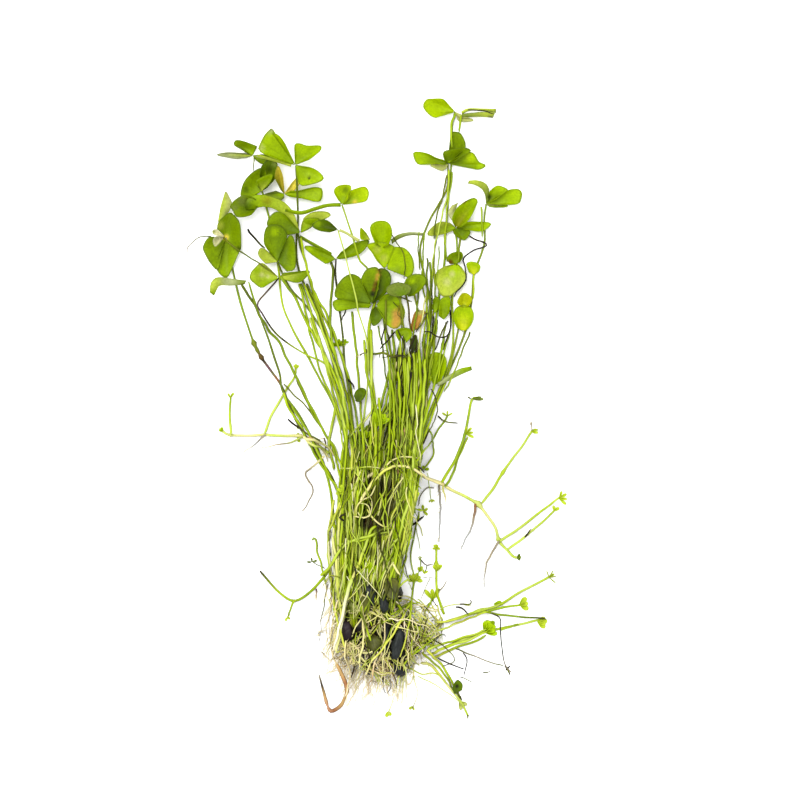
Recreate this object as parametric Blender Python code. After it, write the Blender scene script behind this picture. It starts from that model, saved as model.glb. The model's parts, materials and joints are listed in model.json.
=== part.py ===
# Water clover: a rooted bunch lying on a table.
#
# The bunch lies along +Y, leaves towards +Y and roots towards -Y, and z = 0 is the table.
# Places are read from the photograph, which looks straight down: a point is given as
# its column and row there, and PIXEL turns that into metres on the table.
# Heights follow from how a bunch settles: each piece is laid on the ones under it.

import math

import bmesh
import bpy
import numpy as np

for piece in list(bpy.data.objects):
    bpy.data.objects.remove(piece)

# Driving dimensions, in metres
PIXEL = 0.0003                  # one photograph pixel on the plant
STALK_RADIUS = 0.00045          # leaf stalk
THICK_STALK_RADIUS = 0.00065    # the stoutest leaf stalk
SHOOT_RADIUS = 0.0005           # young side shoot
RUNNER_RADIUS = 0.0006          # creeping stem
THREAD_RADIUS = 0.00035         # dead black stalk
STRAW_RADIUS = 0.0007           # dead folded straw
BLADE = 0.0005                  # leaf thickness
HUB_RADIUS = 0.0006             # where the four leaflets meet
GAP = 0.0003                    # clearance between pieces that touch
KNOT_SPACING = 0.0068           # distance between the points of a stalk
CROWN_HEIGHT = 0.0105           # root crown above the table
BUNDLE_HEIGHT = 0.0068          # packed stalks above the table
TUFT_HEIGHT = 0.0032            # root tuft above the table

# The photograph's column and row that lie over the origin
ORIGIN_COLUMN = 376.5
ORIGIN_ROW = 408.5

# The grid of heights that pieces settle on, in metres and cells
CELL = 0.00025
FIELD_HALF_X = 0.075
FIELD_HALF_Y = 0.110
SPREAD_CELLS = 2                # a blade keeps its neighbours this many cells away
CLIMB = 0.45                    # steepest rise of a stalk towards its leaf
FLAT = 0.01                     # a face is upright when its normal's z is under this
SAMPLE_SPACING = 0.6            # of a cell, between the points spread over a face
BEND_STEPS = 24                 # fine steps of a smooth route between two given points

# Openings between a leaf's outline points that get a notch at the hub, in radians
SPLIT_OPENING = math.radians(100)
NOTCH_OPENING = math.radians(80)

# A mound's rings, as shares of its outline and of its height
MOUND_RINGS = ((1.0, 0.0), (0.99, 0.45), (0.84, 0.85), (0.55, 1.0))

# The rounded section of the packed stalks, as shares of their width and height
BUNDLE_SECTION = ((0, 0), (0, 0.5), (0.2, 0.92), (0.5, 1), (0.8, 0.92), (1, 0.5), (1, 0))

# Colours, linear
LIME = (0.34, 0.56, 0.02)
LEAF_GREEN = (0.20, 0.42, 0.02)
DARK_GREEN = (0.10, 0.24, 0.02)
OLIVE = (0.25, 0.33, 0.04)
YELLOW_GREEN = (0.50, 0.58, 0.03)
PALE_GREEN = (0.45, 0.58, 0.18)
STALK_GREEN = (0.26, 0.42, 0.04)
STALK_BROWN = (0.20, 0.17, 0.06)
CREAM = (0.72, 0.66, 0.38)
BLACK_BROWN = (0.03, 0.025, 0.015)
STRAW = (0.45, 0.26, 0.12)


def on_table(column, row):
    """Metres on the table for a point of the photograph."""
    return (column - ORIGIN_COLUMN) * PIXEL, (ORIGIN_ROW - row) * PIXEL


class Pile:
    """Top of everything laid down so far, as a grid of heights."""

    def __init__(self):
        columns = int(2 * FIELD_HALF_X / CELL)
        rows = int(2 * FIELD_HALF_Y / CELL)
        self.top = np.zeros((rows, columns))

    def index(self, x, y):
        column = ((np.asarray(x) + FIELD_HALF_X) / CELL).astype(int)
        row = ((np.asarray(y) + FIELD_HALF_Y) / CELL).astype(int)
        return row, column

    def disc(self, radius):
        """Cell offsets under a round stem, with the rise of its side above its centre line."""
        reach = int(radius / CELL) + 1
        steps = np.arange(-reach, reach + 1)
        across, along = np.meshgrid(steps, steps)
        distance = np.hypot(across, along) * CELL
        inside = distance < radius
        rise = np.sqrt(radius ** 2 - distance[inside] ** 2)
        return along[inside], across[inside], rise

    def rest_height(self, x, y, radius):
        """Lowest centre height of a stem of this radius over the point."""
        rows, columns, rise = self.disc(radius)
        row, column = self.index(x, y)
        under = self.top[row + rows, column + columns]
        needed = np.where(under > 0, under + rise, radius)
        return max(radius, float(needed.max()))

    def cover_stem(self, knots, radii):
        for start, end, radius in zip(knots[:-1], knots[1:], np.maximum(radii[:-1], radii[1:])):
            rows, columns, rise = self.disc(radius + GAP)
            for step in np.linspace(0, 1, int(math.dist(start, end) / CELL) + 2):
                x, y, z = [a + (b - a) * step for a, b in zip(start, end)]
                row, column = self.index(x, y)
                patch = (row + rows, column + columns)
                self.top[patch] = np.maximum(self.top[patch], z + rise)

    def drop(self, shape):
        """How far a rigid piece must be lifted to lie on the pile."""
        lift = 0.0
        for triangle in facing(shape, upward=False):
            points = spread_over(triangle)
            under = self.top[self.index(points[:, 0], points[:, 1])]
            needed = np.where(under > 0, under - points[:, 2], 0.0)
            lift = max(lift, float(needed.max()))
        return lift

    def cover_shape(self, shape):
        layer = np.zeros_like(self.top)
        for triangle in facing(shape, upward=True):
            points = spread_over(triangle)
            np.maximum.at(layer, self.index(points[:, 0], points[:, 1]), points[:, 2] + GAP)
        for row in range(-SPREAD_CELLS, SPREAD_CELLS + 1):
            for column in range(-SPREAD_CELLS, SPREAD_CELLS + 1):
                self.top = np.maximum(self.top, np.roll(layer, (row, column), axis=(0, 1)))


def facing(shape, upward):
    """Corners of the faces that look up, or of those that look down."""
    shape.normal_update()
    sign = 1 if upward else -1
    return [
        [np.array(vertex.co) for vertex in face.verts]
        for face in shape.faces
        if face.normal.z * sign > FLAT
    ]


def spread_over(triangle):
    """Points spread over a triangle, closer together than a cell."""
    a, b, c = triangle
    longest = max(np.linalg.norm(b - a), np.linalg.norm(c - a), np.linalg.norm(c - b))
    count = int(longest / (CELL * SAMPLE_SPACING)) + 2
    along, across = np.meshgrid(np.linspace(0, 1, count), np.linspace(0, 1, count))
    keep = along + across <= 1.0001
    return a + along[keep][:, None] * (b - a) + across[keep][:, None] * (c - a)


def place(name, data, colour, roughness=0.5):
    """Link a piece to the scene with a material of its own."""
    material = bpy.data.materials.new(name + " surface")
    material.use_nodes = True
    shader = material.node_tree.nodes["Principled BSDF"]
    shader.inputs["Base Color"].default_value = (*colour, 1.0)
    shader.inputs["Roughness"].default_value = roughness
    shader.inputs["Metallic"].default_value = 0.0
    data.materials.append(material)
    piece = bpy.data.objects.new(name, data)
    bpy.context.scene.collection.objects.link(piece)
    return piece


def smooth_route(points, spacing):
    """Evenly spaced places on a smooth line through the given photograph points."""
    corners = [np.array(on_table(*point)) for point in points]
    before_first = 2 * corners[0] - corners[1]
    after_last = 2 * corners[-1] - corners[-2]
    padded = [before_first, *corners, after_last]
    fine = []
    for before, start, end, after in zip(padded, padded[1:], padded[2:], padded[3:]):
        for t in np.linspace(0, 1, BEND_STEPS, endpoint=False):
            bend = 2 * start + (end - before) * t
            bend = bend + (2 * before - 5 * start + 4 * end - after) * t ** 2
            bend = bend + (3 * start - before - 3 * end + after) * t ** 3
            fine.append(bend / 2)
    fine.append(corners[-1])
    fine = np.array(fine)
    travelled = np.concatenate([[0], np.cumsum(np.linalg.norm(np.diff(fine, axis=0), axis=1))])
    stops = np.linspace(0, travelled[-1], max(3, round(travelled[-1] / spacing) + 1))
    return np.column_stack([np.interp(stops, travelled, fine[:, axis]) for axis in (0, 1)])


def settle(pile, places, radii):
    """Heights at which a bending stem lies on the pile."""
    heights = [pile.rest_height(x, y, radius) for (x, y), radius in zip(places, radii)]
    for k in range(len(places) - 1):
        start, end = places[k], places[k + 1]
        radius = max(radii[k], radii[k + 1])
        shortfall = 0.0
        for t in np.linspace(0, 1, int(math.dist(start, end) / CELL) + 2):
            x, y = start + (end - start) * t
            height = heights[k] + (heights[k + 1] - heights[k]) * t
            shortfall = max(shortfall, pile.rest_height(x, y, radius) - height)
        heights[k] += shortfall
        heights[k + 1] += shortfall
    for k in range(1, len(heights) - 1):
        heights[k] = max(heights[k], (heights[k - 1] + heights[k + 1]) / 2 - 2 * GAP)
    return heights


def lay_stem(pile, points, radius, swellings, spacing):
    """Points and radii of a stem on the pile. A swelling is a place, a radius and a reach."""
    places = smooth_route(points, spacing)
    radii = np.full(len(places), radius)
    for column, row, thick, reach in swellings:
        distance = np.linalg.norm(places - np.array(on_table(column, row)), axis=1)
        radii = np.where(distance < reach, np.maximum(radii, thick), radii)
    knots = [(x, y, z) for (x, y), z in zip(places, settle(pile, places, radii))]
    return knots, radii


def stem_object(name, knots, radii, base_radius, colour):
    """A stem as one bevelled line with closed ends."""
    curve = bpy.data.curves.new(name, "CURVE")
    curve.dimensions = "3D"
    curve.bevel_depth = base_radius
    curve.bevel_resolution = 1
    curve.use_fill_caps = True
    line = curve.splines.new("POLY")
    line.points.add(len(knots) - 1)
    for point, knot, radius in zip(line.points, knots, radii):
        point.co = (*knot, 1.0)
        point.radius = radius / base_radius
    return place(name, curve, colour)


def stem(pile, name, points, colour, radius=SHOOT_RADIUS, swellings=(), spacing=KNOT_SPACING):
    """A stem without a leaf of its own node: a runner, a shoot or a dead stalk."""
    knots, radii = lay_stem(pile, points, radius, swellings, spacing)
    pile.cover_stem(knots, radii)
    stem_object(name, knots, radii, radius, colour)


def leaf_shape(hub, leaflets):
    """A clover leaf about its hub. A leaflet is its outline, its rise, and its depth on edge."""
    centre = np.array(on_table(*hub))
    outline = []
    for number, (points, rise, depth) in enumerate(leaflets):
        offsets = [np.array(on_table(*point)) - centre for point in points]
        reach = max(np.hypot(*offset) for offset in offsets)
        for offset in offsets:
            share = np.hypot(*offset) / reach
            angle = math.atan2(offset[1], offset[0])
            outline.append((angle, offset, rise * share, max(BLADE, depth * share), number))
    outline.sort(key=lambda entry: entry[0])
    shape = bmesh.new()
    depth_layer = shape.verts.layers.float.new("depth")
    middle = shape.verts.new((*centre, 0.0))
    middle[depth_layer] = BLADE
    rim = []
    for entry, follower in zip(outline, outline[1:] + outline[:1]):
        angle, offset, low, depth, number = entry
        vertex = shape.verts.new((*(centre + offset), low))
        vertex[depth_layer] = depth
        rim.append(vertex)
        opening = (follower[0] - angle) % (2 * math.pi)
        if number == follower[4] and opening < SPLIT_OPENING:
            continue
        notches = max(1, math.ceil(opening / NOTCH_OPENING))
        for step in range(notches):
            turn = angle + opening * (step + 1) / (notches + 1)
            notch = centre + np.array((math.cos(turn), math.sin(turn))) * HUB_RADIUS
            vertex = shape.verts.new((*notch, 0.0))
            vertex[depth_layer] = BLADE
            rim.append(vertex)
    for vertex, follower in zip(rim, rim[1:] + rim[:1]):
        shape.faces.new((middle, follower, vertex))
    raised = bmesh.ops.extrude_face_region(shape, geom=list(shape.faces))
    for item in raised["geom"]:
        if isinstance(item, bmesh.types.BMVert):
            item.co.z += item[depth_layer]
    bmesh.ops.triangulate(shape, faces=list(shape.faces))
    bmesh.ops.recalc_face_normals(shape, faces=list(shape.faces))
    return shape


def finish_shape(pile, name, shape, colour):
    pile.cover_shape(shape)
    mesh = bpy.data.meshes.new(name)
    shape.to_mesh(mesh)
    shape.free()
    return place(name, mesh, colour)


def leaf(pile, name, hub, leaflets, colour):
    """A leaf dropped on the pile. Returns the height of the underside of its hub."""
    shape = leaf_shape(hub, leaflets)
    lift = pile.drop(shape)
    bmesh.ops.translate(shape, verts=list(shape.verts), vec=(0, 0, lift))
    finish_shape(pile, "leaf_" + name, shape, colour)
    return lift


def frond(pile, name, stalk_points, leaflets, leaf_colour, stalk_colour=STALK_GREEN,
          radius=STALK_RADIUS, swellings=()):
    """A stalk and its leaf: the end of the stalk rises to the hub of the leaf."""
    knots, radii = lay_stem(pile, stalk_points, radius, swellings, KNOT_SPACING)
    pile.cover_stem(knots, radii)
    under_hub = leaf(pile, name, stalk_points[-1], leaflets, leaf_colour)
    target = under_hub - GAP - radii[-1]
    end = knots[-1][:2]
    risen = [(x, y, max(z, target - CLIMB * math.dist((x, y), end))) for x, y, z in knots]
    pile.cover_stem(risen, radii)
    stem_object("stalk_" + name, risen, radii, radius, stalk_colour)


def ring_of(shape, corners):
    """A closed loop of edges through the corners."""
    loop = [shape.verts.new(corner) for corner in corners]
    return [shape.edges.new(pair) for pair in zip(loop, loop[1:] + loop[:1])]


def bridged(rings):
    """A closed solid through rings of corners, with a face on its first and last ring."""
    shape = bmesh.new()
    loops = [ring_of(shape, corners) for corners in rings]
    for loop, follower in zip(loops, loops[1:]):
        bmesh.ops.bridge_loops(shape, edges=loop + follower)
    for loop in (loops[0], loops[-1]):
        bmesh.ops.contextual_create(shape, geom=loop)
    bmesh.ops.triangulate(shape, faces=list(shape.faces), ngon_method="EAR_CLIP")
    bmesh.ops.recalc_face_normals(shape, faces=list(shape.faces))
    return shape


def mound(pile, name, centre, outline, height, colour):
    """A low lump with a flat underside, narrower towards its top."""
    middle = np.array(on_table(*centre))
    corners = [np.array(on_table(*point)) for point in outline]
    rings = []
    for share, rise in MOUND_RINGS:
        rings.append([(*(middle + (corner - middle) * share), height * rise) for corner in corners])
    finish_shape(pile, name, bridged(rings), colour)


def packed_stalks(pile, name, stations, height, colour):
    """Stalks packed side by side: rows with a left and right edge and a share of the height."""
    rings = []
    for row, left, right, share in stations:
        top = height * share
        ring = []
        for across, rise in BUNDLE_SECTION:
            x, y = on_table(left + (right - left) * across, row)
            ring.append((x, y, top * rise))
        rings.append(ring)
    finish_shape(pile, name, bridged(rings), colour)


pile = Pile()

# Base: crown of roots, root tuft under it, packed stalks above it
mound(
    pile, "root_crown", (375, 645),
    [
        (338, 608), (352, 606), (372, 606), (392, 606), (408, 608), (420, 611), (434, 618), (441, 630),
        (441, 642), (430, 650), (424, 656), (412, 664), (402, 676), (394, 690), (384, 694), (377, 684),
        (366, 678), (352, 668), (338, 658), (330, 640), (330, 622),
    ],
    CROWN_HEIGHT, DARK_GREEN,
)
mound(
    pile, "root_tuft", (357, 684),
    [
        (329, 661), (338, 663), (350, 671), (364, 681), (375, 688), (379, 694), (384, 711), (377, 703),
        (372, 719), (367, 704), (361, 716), (357, 703), (352, 710), (349, 697), (336, 699), (340, 685),
        (326, 684), (334, 672),
    ],
    TUFT_HEIGHT, CREAM,
)
packed_stalks(
    pile, "stalk_bundle",
    [
        (603, 336, 402, 1.0), (560, 330, 411, 1.0), (500, 337, 421, 1.0), (450, 341, 428, 0.95),
        (430, 347, 430, 0.9), (405, 373, 431, 0.8), (370, 383, 430, 0.7), (340, 389, 424, 0.45),
    ],
    BUNDLE_HEIGHT, STALK_GREEN,
)

# Creeping stems and what hangs low, first on the table
stem(pile, "runner_left", [(328, 453), (306, 437), (285, 435.5), (265, 435), (231, 435), (220, 429)],
     CREAM, RUNNER_RADIUS, [(328, 453, 0.0012, 0.004), (300, 436, 0.0009, 0.003)])
stem(pile, "runner_low_left", [(345, 545), (334, 560), (325, 575), (312, 590), (294, 601),
                              (278, 591), (260, 571)],
     LIME, SHOOT_RADIUS)
stem(pile, "dead_straw", [(337, 664), (341, 672), (347, 688), (344, 699), (339.5, 706), (331, 711),
                          (327, 704), (323.5, 693), (319, 675)],
     STRAW, STRAW_RADIUS, spacing=0.003)
stem(pile, "beaded_stem", [(444, 614), (440, 602), (437, 591), (436, 565), (436, 545)],
     LIME, SHOOT_RADIUS, [(436, 545, 0.001, 0.002), (436, 566, 0.001, 0.002),
                              (437, 591, 0.0015, 0.003)],
     spacing=0.004)
stem(pile, "low_sprig", [(421, 663), (432, 666), (446, 683), (457, 697), (463, 705), (468, 716)],
     PALE_GREEN, SHOOT_RADIUS, [(463, 705, 0.0008, 0.002)])
stem(pile, "runner_right", [(352, 500), (362, 482), (375, 472), (387, 468), (400, 466), (415, 472),
                            (427, 478), (441, 483), (448, 488), (475, 502), (482, 509),
                            (495, 527), (499, 541), (507, 550), (514, 557), (520, 557)],
     CREAM, RUNNER_RADIUS, [(441, 483, 0.0008, 0.002), (479, 506, 0.0009, 0.003),
                            (520, 557, 0.001, 0.002)])

# Young side shoots, each with a small leaf at its tip
stem(pile, "shoot_left_upright", [(231, 434), (230, 416), (231, 396)],
     LIME, SHOOT_RADIUS, [(231, 396, 0.0009, 0.002)])
stem(pile, "shoot_left_slanted", [(265, 433), (271, 416.5), (282, 397), (288, 387), (295, 376), (296, 364)],
     LIME, SHOOT_RADIUS, [(296, 364, 0.001, 0.002)])
stem(pile, "shoot_right_tall", [(442, 482), (458, 453.5), (466, 429), (472, 400), (483, 399)],
     LIME, SHOOT_RADIUS, [(466, 431, 0.0008, 0.003)])
stem(pile, "shoot_right_long", [(482, 503), (493.5, 487), (503, 472), (520, 449), (532, 431), (538, 430)],
     LIME, SHOOT_RADIUS, [(502, 473, 0.0008, 0.003), (538, 430, 0.0008, 0.001)])
stem(pile, "shoot_far_right", [(500, 541), (518, 529), (535, 515.5), (557, 499), (565, 496)],
     LIME, SHOOT_RADIUS, [(563, 497, 0.0012, 0.0022)])
stem(pile, "shoot_far_right_low", [(508, 549), (523, 538), (540.5, 523.5), (555, 510)],
     PALE_GREEN, SHOOT_RADIUS)
stem(pile, "shoot_low_right_long", [(445, 622), (474, 613), (499.5, 604), (522, 591),
                                   (549, 577), (554, 574)],
     LIME, SHOOT_RADIUS, [(480, 611, 0.001, 0.008)])
stem(pile, "shoot_low_right_fan", [(488, 611), (503, 607), (519, 605), (526, 603)],
     LIME, SHOOT_RADIUS, [(526, 603, 0.0016, 0.0015)])
stem(pile, "shoot_low_right_thick", [(444, 647), (471, 637), (487, 631), (502, 628), (521, 623.5),
                                    (539, 620), (545, 622)],
     LIME, SHOOT_RADIUS, [(470, 638, 0.0014, 0.007), (487, 630, 0.002, 0.002), (544, 622, 0.0014, 0.0015)])
stem(pile, "dead_stalk_right", [(491, 613), (500, 618), (500, 629), (502, 648), (505, 665), (511, 672)],
     BLACK_BROWN, THREAD_RADIUS)

# Fronds of the top of the bunch, the ones that lie lowest first
frond(
    pile, "crest_right",
    [(380, 598), (394, 550), (406, 480), (418, 420), (426, 370), (434, 330), (440, 290), (443.5, 261),
     (447, 214.7), (450.5, 178), (452, 149), (452, 126), (455, 112)],
    [
        ([(437, 118), (427, 114), (424, 107), (425, 100.5), (430, 98), (442, 98.5), (446, 102)], 0.002, 0),
        ([(478, 108.5), (495, 106.5), (497, 111), (494, 116), (466, 116)], 0.001, 0.0016),
        ([(474, 120.5), (464, 122.5)], 0.0004, 0),
    ],
    LIME,
)
leaf(
    pile, "small_left", (253.5, 156),
    [
        ([(234, 146), (233.5, 141.5), (243, 140.5), (257, 147)], 0.0015, 0),
        ([(228, 151.5), (217, 154), (233, 158.5)], 0.0008, 0),
        ([(277, 160), (268, 155), (262, 163)], 0.0005, 0),
    ],
    LEAF_GREEN,
)
frond(
    pile, "domed",
    [(350, 598), (349, 520), (348, 450), (334, 405), (321, 379.5), (306, 354), (289, 321), (282, 302),
     (279, 275), (275, 250), (270, 222), (266, 206), (262, 191)],
    [
        ([(241, 197), (242, 186), (250, 175), (261, 169)], 0.0012, 0),
        ([(265, 167), (272, 160), (279, 161), (279, 170), (272, 180)], 0.0028, 0),
    ],
    DARK_GREEN,
)
leaf(
    pile, "yellow_edged", (284.4, 194),
    [
        ([(294, 181), (299, 182), (298, 188)], 0.001, 0),
        ([(273, 177), (279.4, 166), (282, 178)], 0.003, 0),
        ([(299, 192), (322, 187.5), (322.5, 200), (305, 198)], 0.001, 0),
        ([(265, 194.5), (264, 199)], 0.0005, 0),
    ],
    YELLOW_GREEN,
)
frond(
    pile, "crest_left",
    [(344, 598), (344, 520), (345, 440), (340, 395), (334, 365), (326, 335), (313, 302), (303, 282),
     (297, 262), (296, 240), (298.4, 222), (297.7, 200), (296, 166)],
    [
        ([(260, 150), (263, 141), (271, 128), (277, 134), (286, 147)], 0.0028, 0),
        ([(295, 145), (302, 144.5), (321, 147), (321.5, 153)], 0.002, 0),
        ([(313, 169), (323, 178), (318, 184), (305, 184.5), (298, 184)], 0.001, 0),
        ([(254, 154.8), (254.5, 157.2)], 0.0005, 0.003),
    ],
    LIME,
)
frond(
    pile, "upper_right",
    [(384, 598), (392, 570), (405, 500), (416, 430), (424, 380), (428, 340), (430, 300), (424.5, 276),
     (420.5, 250), (428, 223), (439, 203.5), (447, 188), (448, 164)],
    [
        ([(444, 151.5), (450.5, 133), (456, 132.5), (462, 137), (465, 148), (472, 151), (478, 159),
          (486, 164.5), (480, 169)], 0.002, 0),
        ([(441, 170), (430, 166)], 0.0005, 0),
        ([(424, 164), (415.4, 162.8), (412.6, 153), (418, 153)], 0.0015, 0),
    ],
    LEAF_GREEN,
)
frond(
    pile, "right",
    [(390, 598), (400, 530), (412, 470), (425, 427), (438, 395), (452, 365), (464, 335), (471, 305),
     (474.3, 276.4), (483.5, 244), (484.5, 222), (486, 204)],
    [
        ([(469, 182.4), (476, 181), (485.6, 183.8), (487.7, 192.2)], 0.002, 0),
        ([(489.8, 192.2), (497.5, 186), (505, 190)], 0.001, 0),
        ([(516, 189.4), (521.3, 192.3), (520.6, 202), (502.4, 204.2)], 0.0015, 0),
        ([(507, 207), (506, 209)], 0.0005, 0),
    ],
    LIME,
)
frond(
    pile, "far_left",
    [(352, 598), (345, 520), (333, 480), (320, 460), (306, 437), (294, 415), (282, 388), (271, 372),
     (261, 357), (252, 339), (243, 312), (236, 285), (231, 262), (226, 239)],
    [
        ([(233, 212), (238, 222), (241, 236), (241.5, 249)], 0.003, 0),
        ([(218, 220), (221, 203), (226, 193), (231, 205)], 0.004, 0),
        ([(204, 239), (187, 252), (204, 248), (211, 262), (218, 272)], 0.002, 0),
        ([(219, 276), (229, 279), (233, 266), (239, 253)], 0.001, 0),
    ],
    LEAF_GREEN, swellings=[(256, 350, 0.001, 0.0035)],
)
frond(
    pile, "two_toned",
    [(388, 598), (395, 560), (405, 500), (418, 445), (430, 412), (440, 388), (447, 370), (451.6, 353),
     (453, 326), (452, 300), (456, 265), (457, 245), (455, 229)],
    [
        ([(452.6, 213), (459, 202), (469, 198), (477, 199.5), (473, 213), (468, 222)], 0.003, 0),
        ([(480, 221.5), (491, 223), (486, 230), (474, 231)], 0.001, 0),
        ([(470, 234), (466, 239), (459, 238.5), (454, 235)], 0.0005, 0),
        ([(444, 223.5), (432, 227), (425, 237), (440, 235)], 0.001, 0),
    ],
    OLIVE,
)
leaf(
    pile, "round", (457, 264),
    [
        ([(439, 268), (434.4, 276.4), (436.5, 286.3), (440.7, 294.7), (446, 297), (457.5, 290.5),
          (466, 282), (466, 272)], 0.001, 0),
        ([(447.7, 259.6), (452, 252.6), (461.7, 252.6), (462.4, 258)], 0.0015, 0),
    ],
    PALE_GREEN,
)
frond(
    pile, "arched",
    [(356, 598), (356, 520), (354, 450), (350, 400), (344, 365), (333, 335), (320, 308), (310, 282),
     (304.7, 262), (300.5, 246), (298.5, 232)],
    [
        ([(232, 216), (236, 208), (254, 197), (270, 200), (286, 211)], 0.003, 0),
    ],
    OLIVE,
)
leaf(
    pile, "inner_dark", (301, 233),
    [
        ([(266, 223), (270, 214), (279, 212), (287, 220)], 0.001, 0),
        ([(305, 219), (318, 211.5), (331, 215)], 0.001, 0),
    ],
    DARK_GREEN,
)
frond(
    pile, "middle_left",
    [(340, 598), (338, 520), (342, 460), (346, 430), (341, 395), (336, 362), (326, 337), (306, 305.5),
     (292, 290), (283, 275), (278, 262)],
    [
        ([(265, 247), (264, 232), (276, 226), (286, 233)], 0.002, 0),
        ([(289, 235), (295, 238), (295, 268), (287, 272)], 0.001, 0),
        ([(259, 258), (260, 248)], 0.0005, 0),
    ],
    LEAF_GREEN,
)
frond(
    pile, "inner_green",
    [(360, 598), (360, 520), (356, 450), (350, 400), (344, 362), (342, 331), (336.5, 280), (335.6, 259)],
    [
        ([(304, 247), (312, 246), (322, 263)], 0.001, 0),
        ([(306, 237), (308, 235)], 0.001, 0.0025),
        ([(348, 245.6), (367.7, 240.7), (369, 248.4), (354, 256)], 0.0012, 0),
    ],
    LEAF_GREEN,
)
frond(
    pile, "twin_lobe",
    [(378, 598), (384, 520), (389, 440), (390, 380), (386, 340), (380, 300), (368, 269), (360, 259.6),
     (351, 231.5), (342.5, 205)],
    [
        ([(333.5, 194), (334, 190), (338, 186), (346, 185), (350, 187)], 0.0012, 0),
        ([(353, 190), (366, 187), (368.5, 193), (366, 202), (355, 204)], 0.0012, 0),
        ([(299, 211.5), (299, 214.5)], 0.0003, 0.0015),
    ],
    LIME,
)
frond(
    pile, "bright_middle",
    [(370, 598), (374, 540), (375, 480), (375, 408), (371, 369), (369, 331), (375, 302),
     (381, 280), (385, 269)],
    [
        ([(360.5, 238), (360, 229.4), (368, 232), (372, 226), (379, 221.7), (387.3, 221.7), (391.6, 228.7),
          (391, 243), (400, 247), (408, 249), (413.5, 258), (414, 268), (410, 276), (402, 276.5),
          (393, 273.5)], 0.003, 0),
        ([(366, 247), (370, 256)], 0.001, 0),
    ],
    LIME, radius=THICK_STALK_RADIUS,
)
leaf(
    pile, "dark_middle", (372, 304),
    [
        ([(334, 299), (337, 287), (341, 279), (349, 274.5), (358, 277.5)], 0.0015, 0),
        ([(367.5, 272), (377, 267.5), (384, 269), (389, 280), (384, 296)], 0.0015, 0),
        ([(336, 310), (341, 311.5), (352, 308)], 0.0005, 0),
    ],
    DARK_GREEN,
)
frond(
    pile, "inner_right",
    [(364, 598), (362, 520), (362, 450), (366, 400), (368, 360), (366, 335), (358, 311), (355.5, 299),
     (350, 273.6), (341, 241), (338, 230)],
    [
        ([(314, 229), (317, 221), (328, 222)], 0.001, 0),
        ([(358, 238.5), (359, 241.5)], 0.0005, 0),
    ],
    DARK_GREEN,
)
leaf(
    pile, "patched", (376, 306),
    [
        ([(384, 296), (397, 297), (402, 309), (400, 326), (393, 330), (384, 321)], 0.001, 0),
        ([(380, 324), (373, 326), (370, 316)], 0.0005, 0),
    ],
    OLIVE,
)
leaf(
    pile, "dead", (411, 332),
    [
        ([(411.5, 322), (415, 312), (425, 310), (424, 320), (418, 328)], 0.001, 0),
    ],
    STRAW,
)
frond(
    pile, "low_left",
    [(346, 598), (341, 520), (347, 440), (343, 395), (328, 367), (306, 354), (276.5, 334), (262, 313),
     (258.5, 304), (266, 293), (274, 284), (279, 278)],
    [
        ([(249, 276), (254, 268), (260, 265), (268, 269), (271, 280.6), (265.4, 286), (259.8, 287),
          (252.8, 282)], 0.0012, 0),
        ([(289, 271), (309, 271.5), (300.5, 280.6), (296, 283.4)], 0.0008, 0),
    ],
    LEAF_GREEN, STALK_BROWN,
)
frond(
    pile, "pale_left",
    [(339, 598), (334, 520), (326, 470), (312, 438), (301, 418), (283, 391), (279, 372), (269, 341),
     (256, 305), (249, 282)],
    [
        ([(235, 277), (216, 278), (210.7, 288), (213, 296)], 0.001, 0),
    ],
    PALE_GREEN,
)
frond(
    pile, "yellow_cluster",
    [(392, 598), (402, 520), (420, 450), (432, 415), (446, 380), (455, 345), (461, 317)],
    [
        ([(454, 313), (456, 304), (457, 297), (463, 293.5), (470, 296), (473, 305), (473.5, 315),
          (470, 325), (464, 330), (457, 330), (454.5, 322)], 0.0008, 0),
    ],
    YELLOW_GREEN,
)
frond(
    pile, "lower_right",
    [(396, 598), (405, 520), (412, 470), (420, 435), (428, 405), (434, 386)],
    [
        ([(430.5, 369), (431, 355), (437, 353), (444.5, 357.5), (446, 365), (443.5, 375)], 0.0012, 0),
        ([(460, 368.5), (472, 366.5), (472, 369.5), (455, 377)], 0.0005, 0.002),
    ],
    LEAF_GREEN,
)
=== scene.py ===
import json
import math
import random

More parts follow.
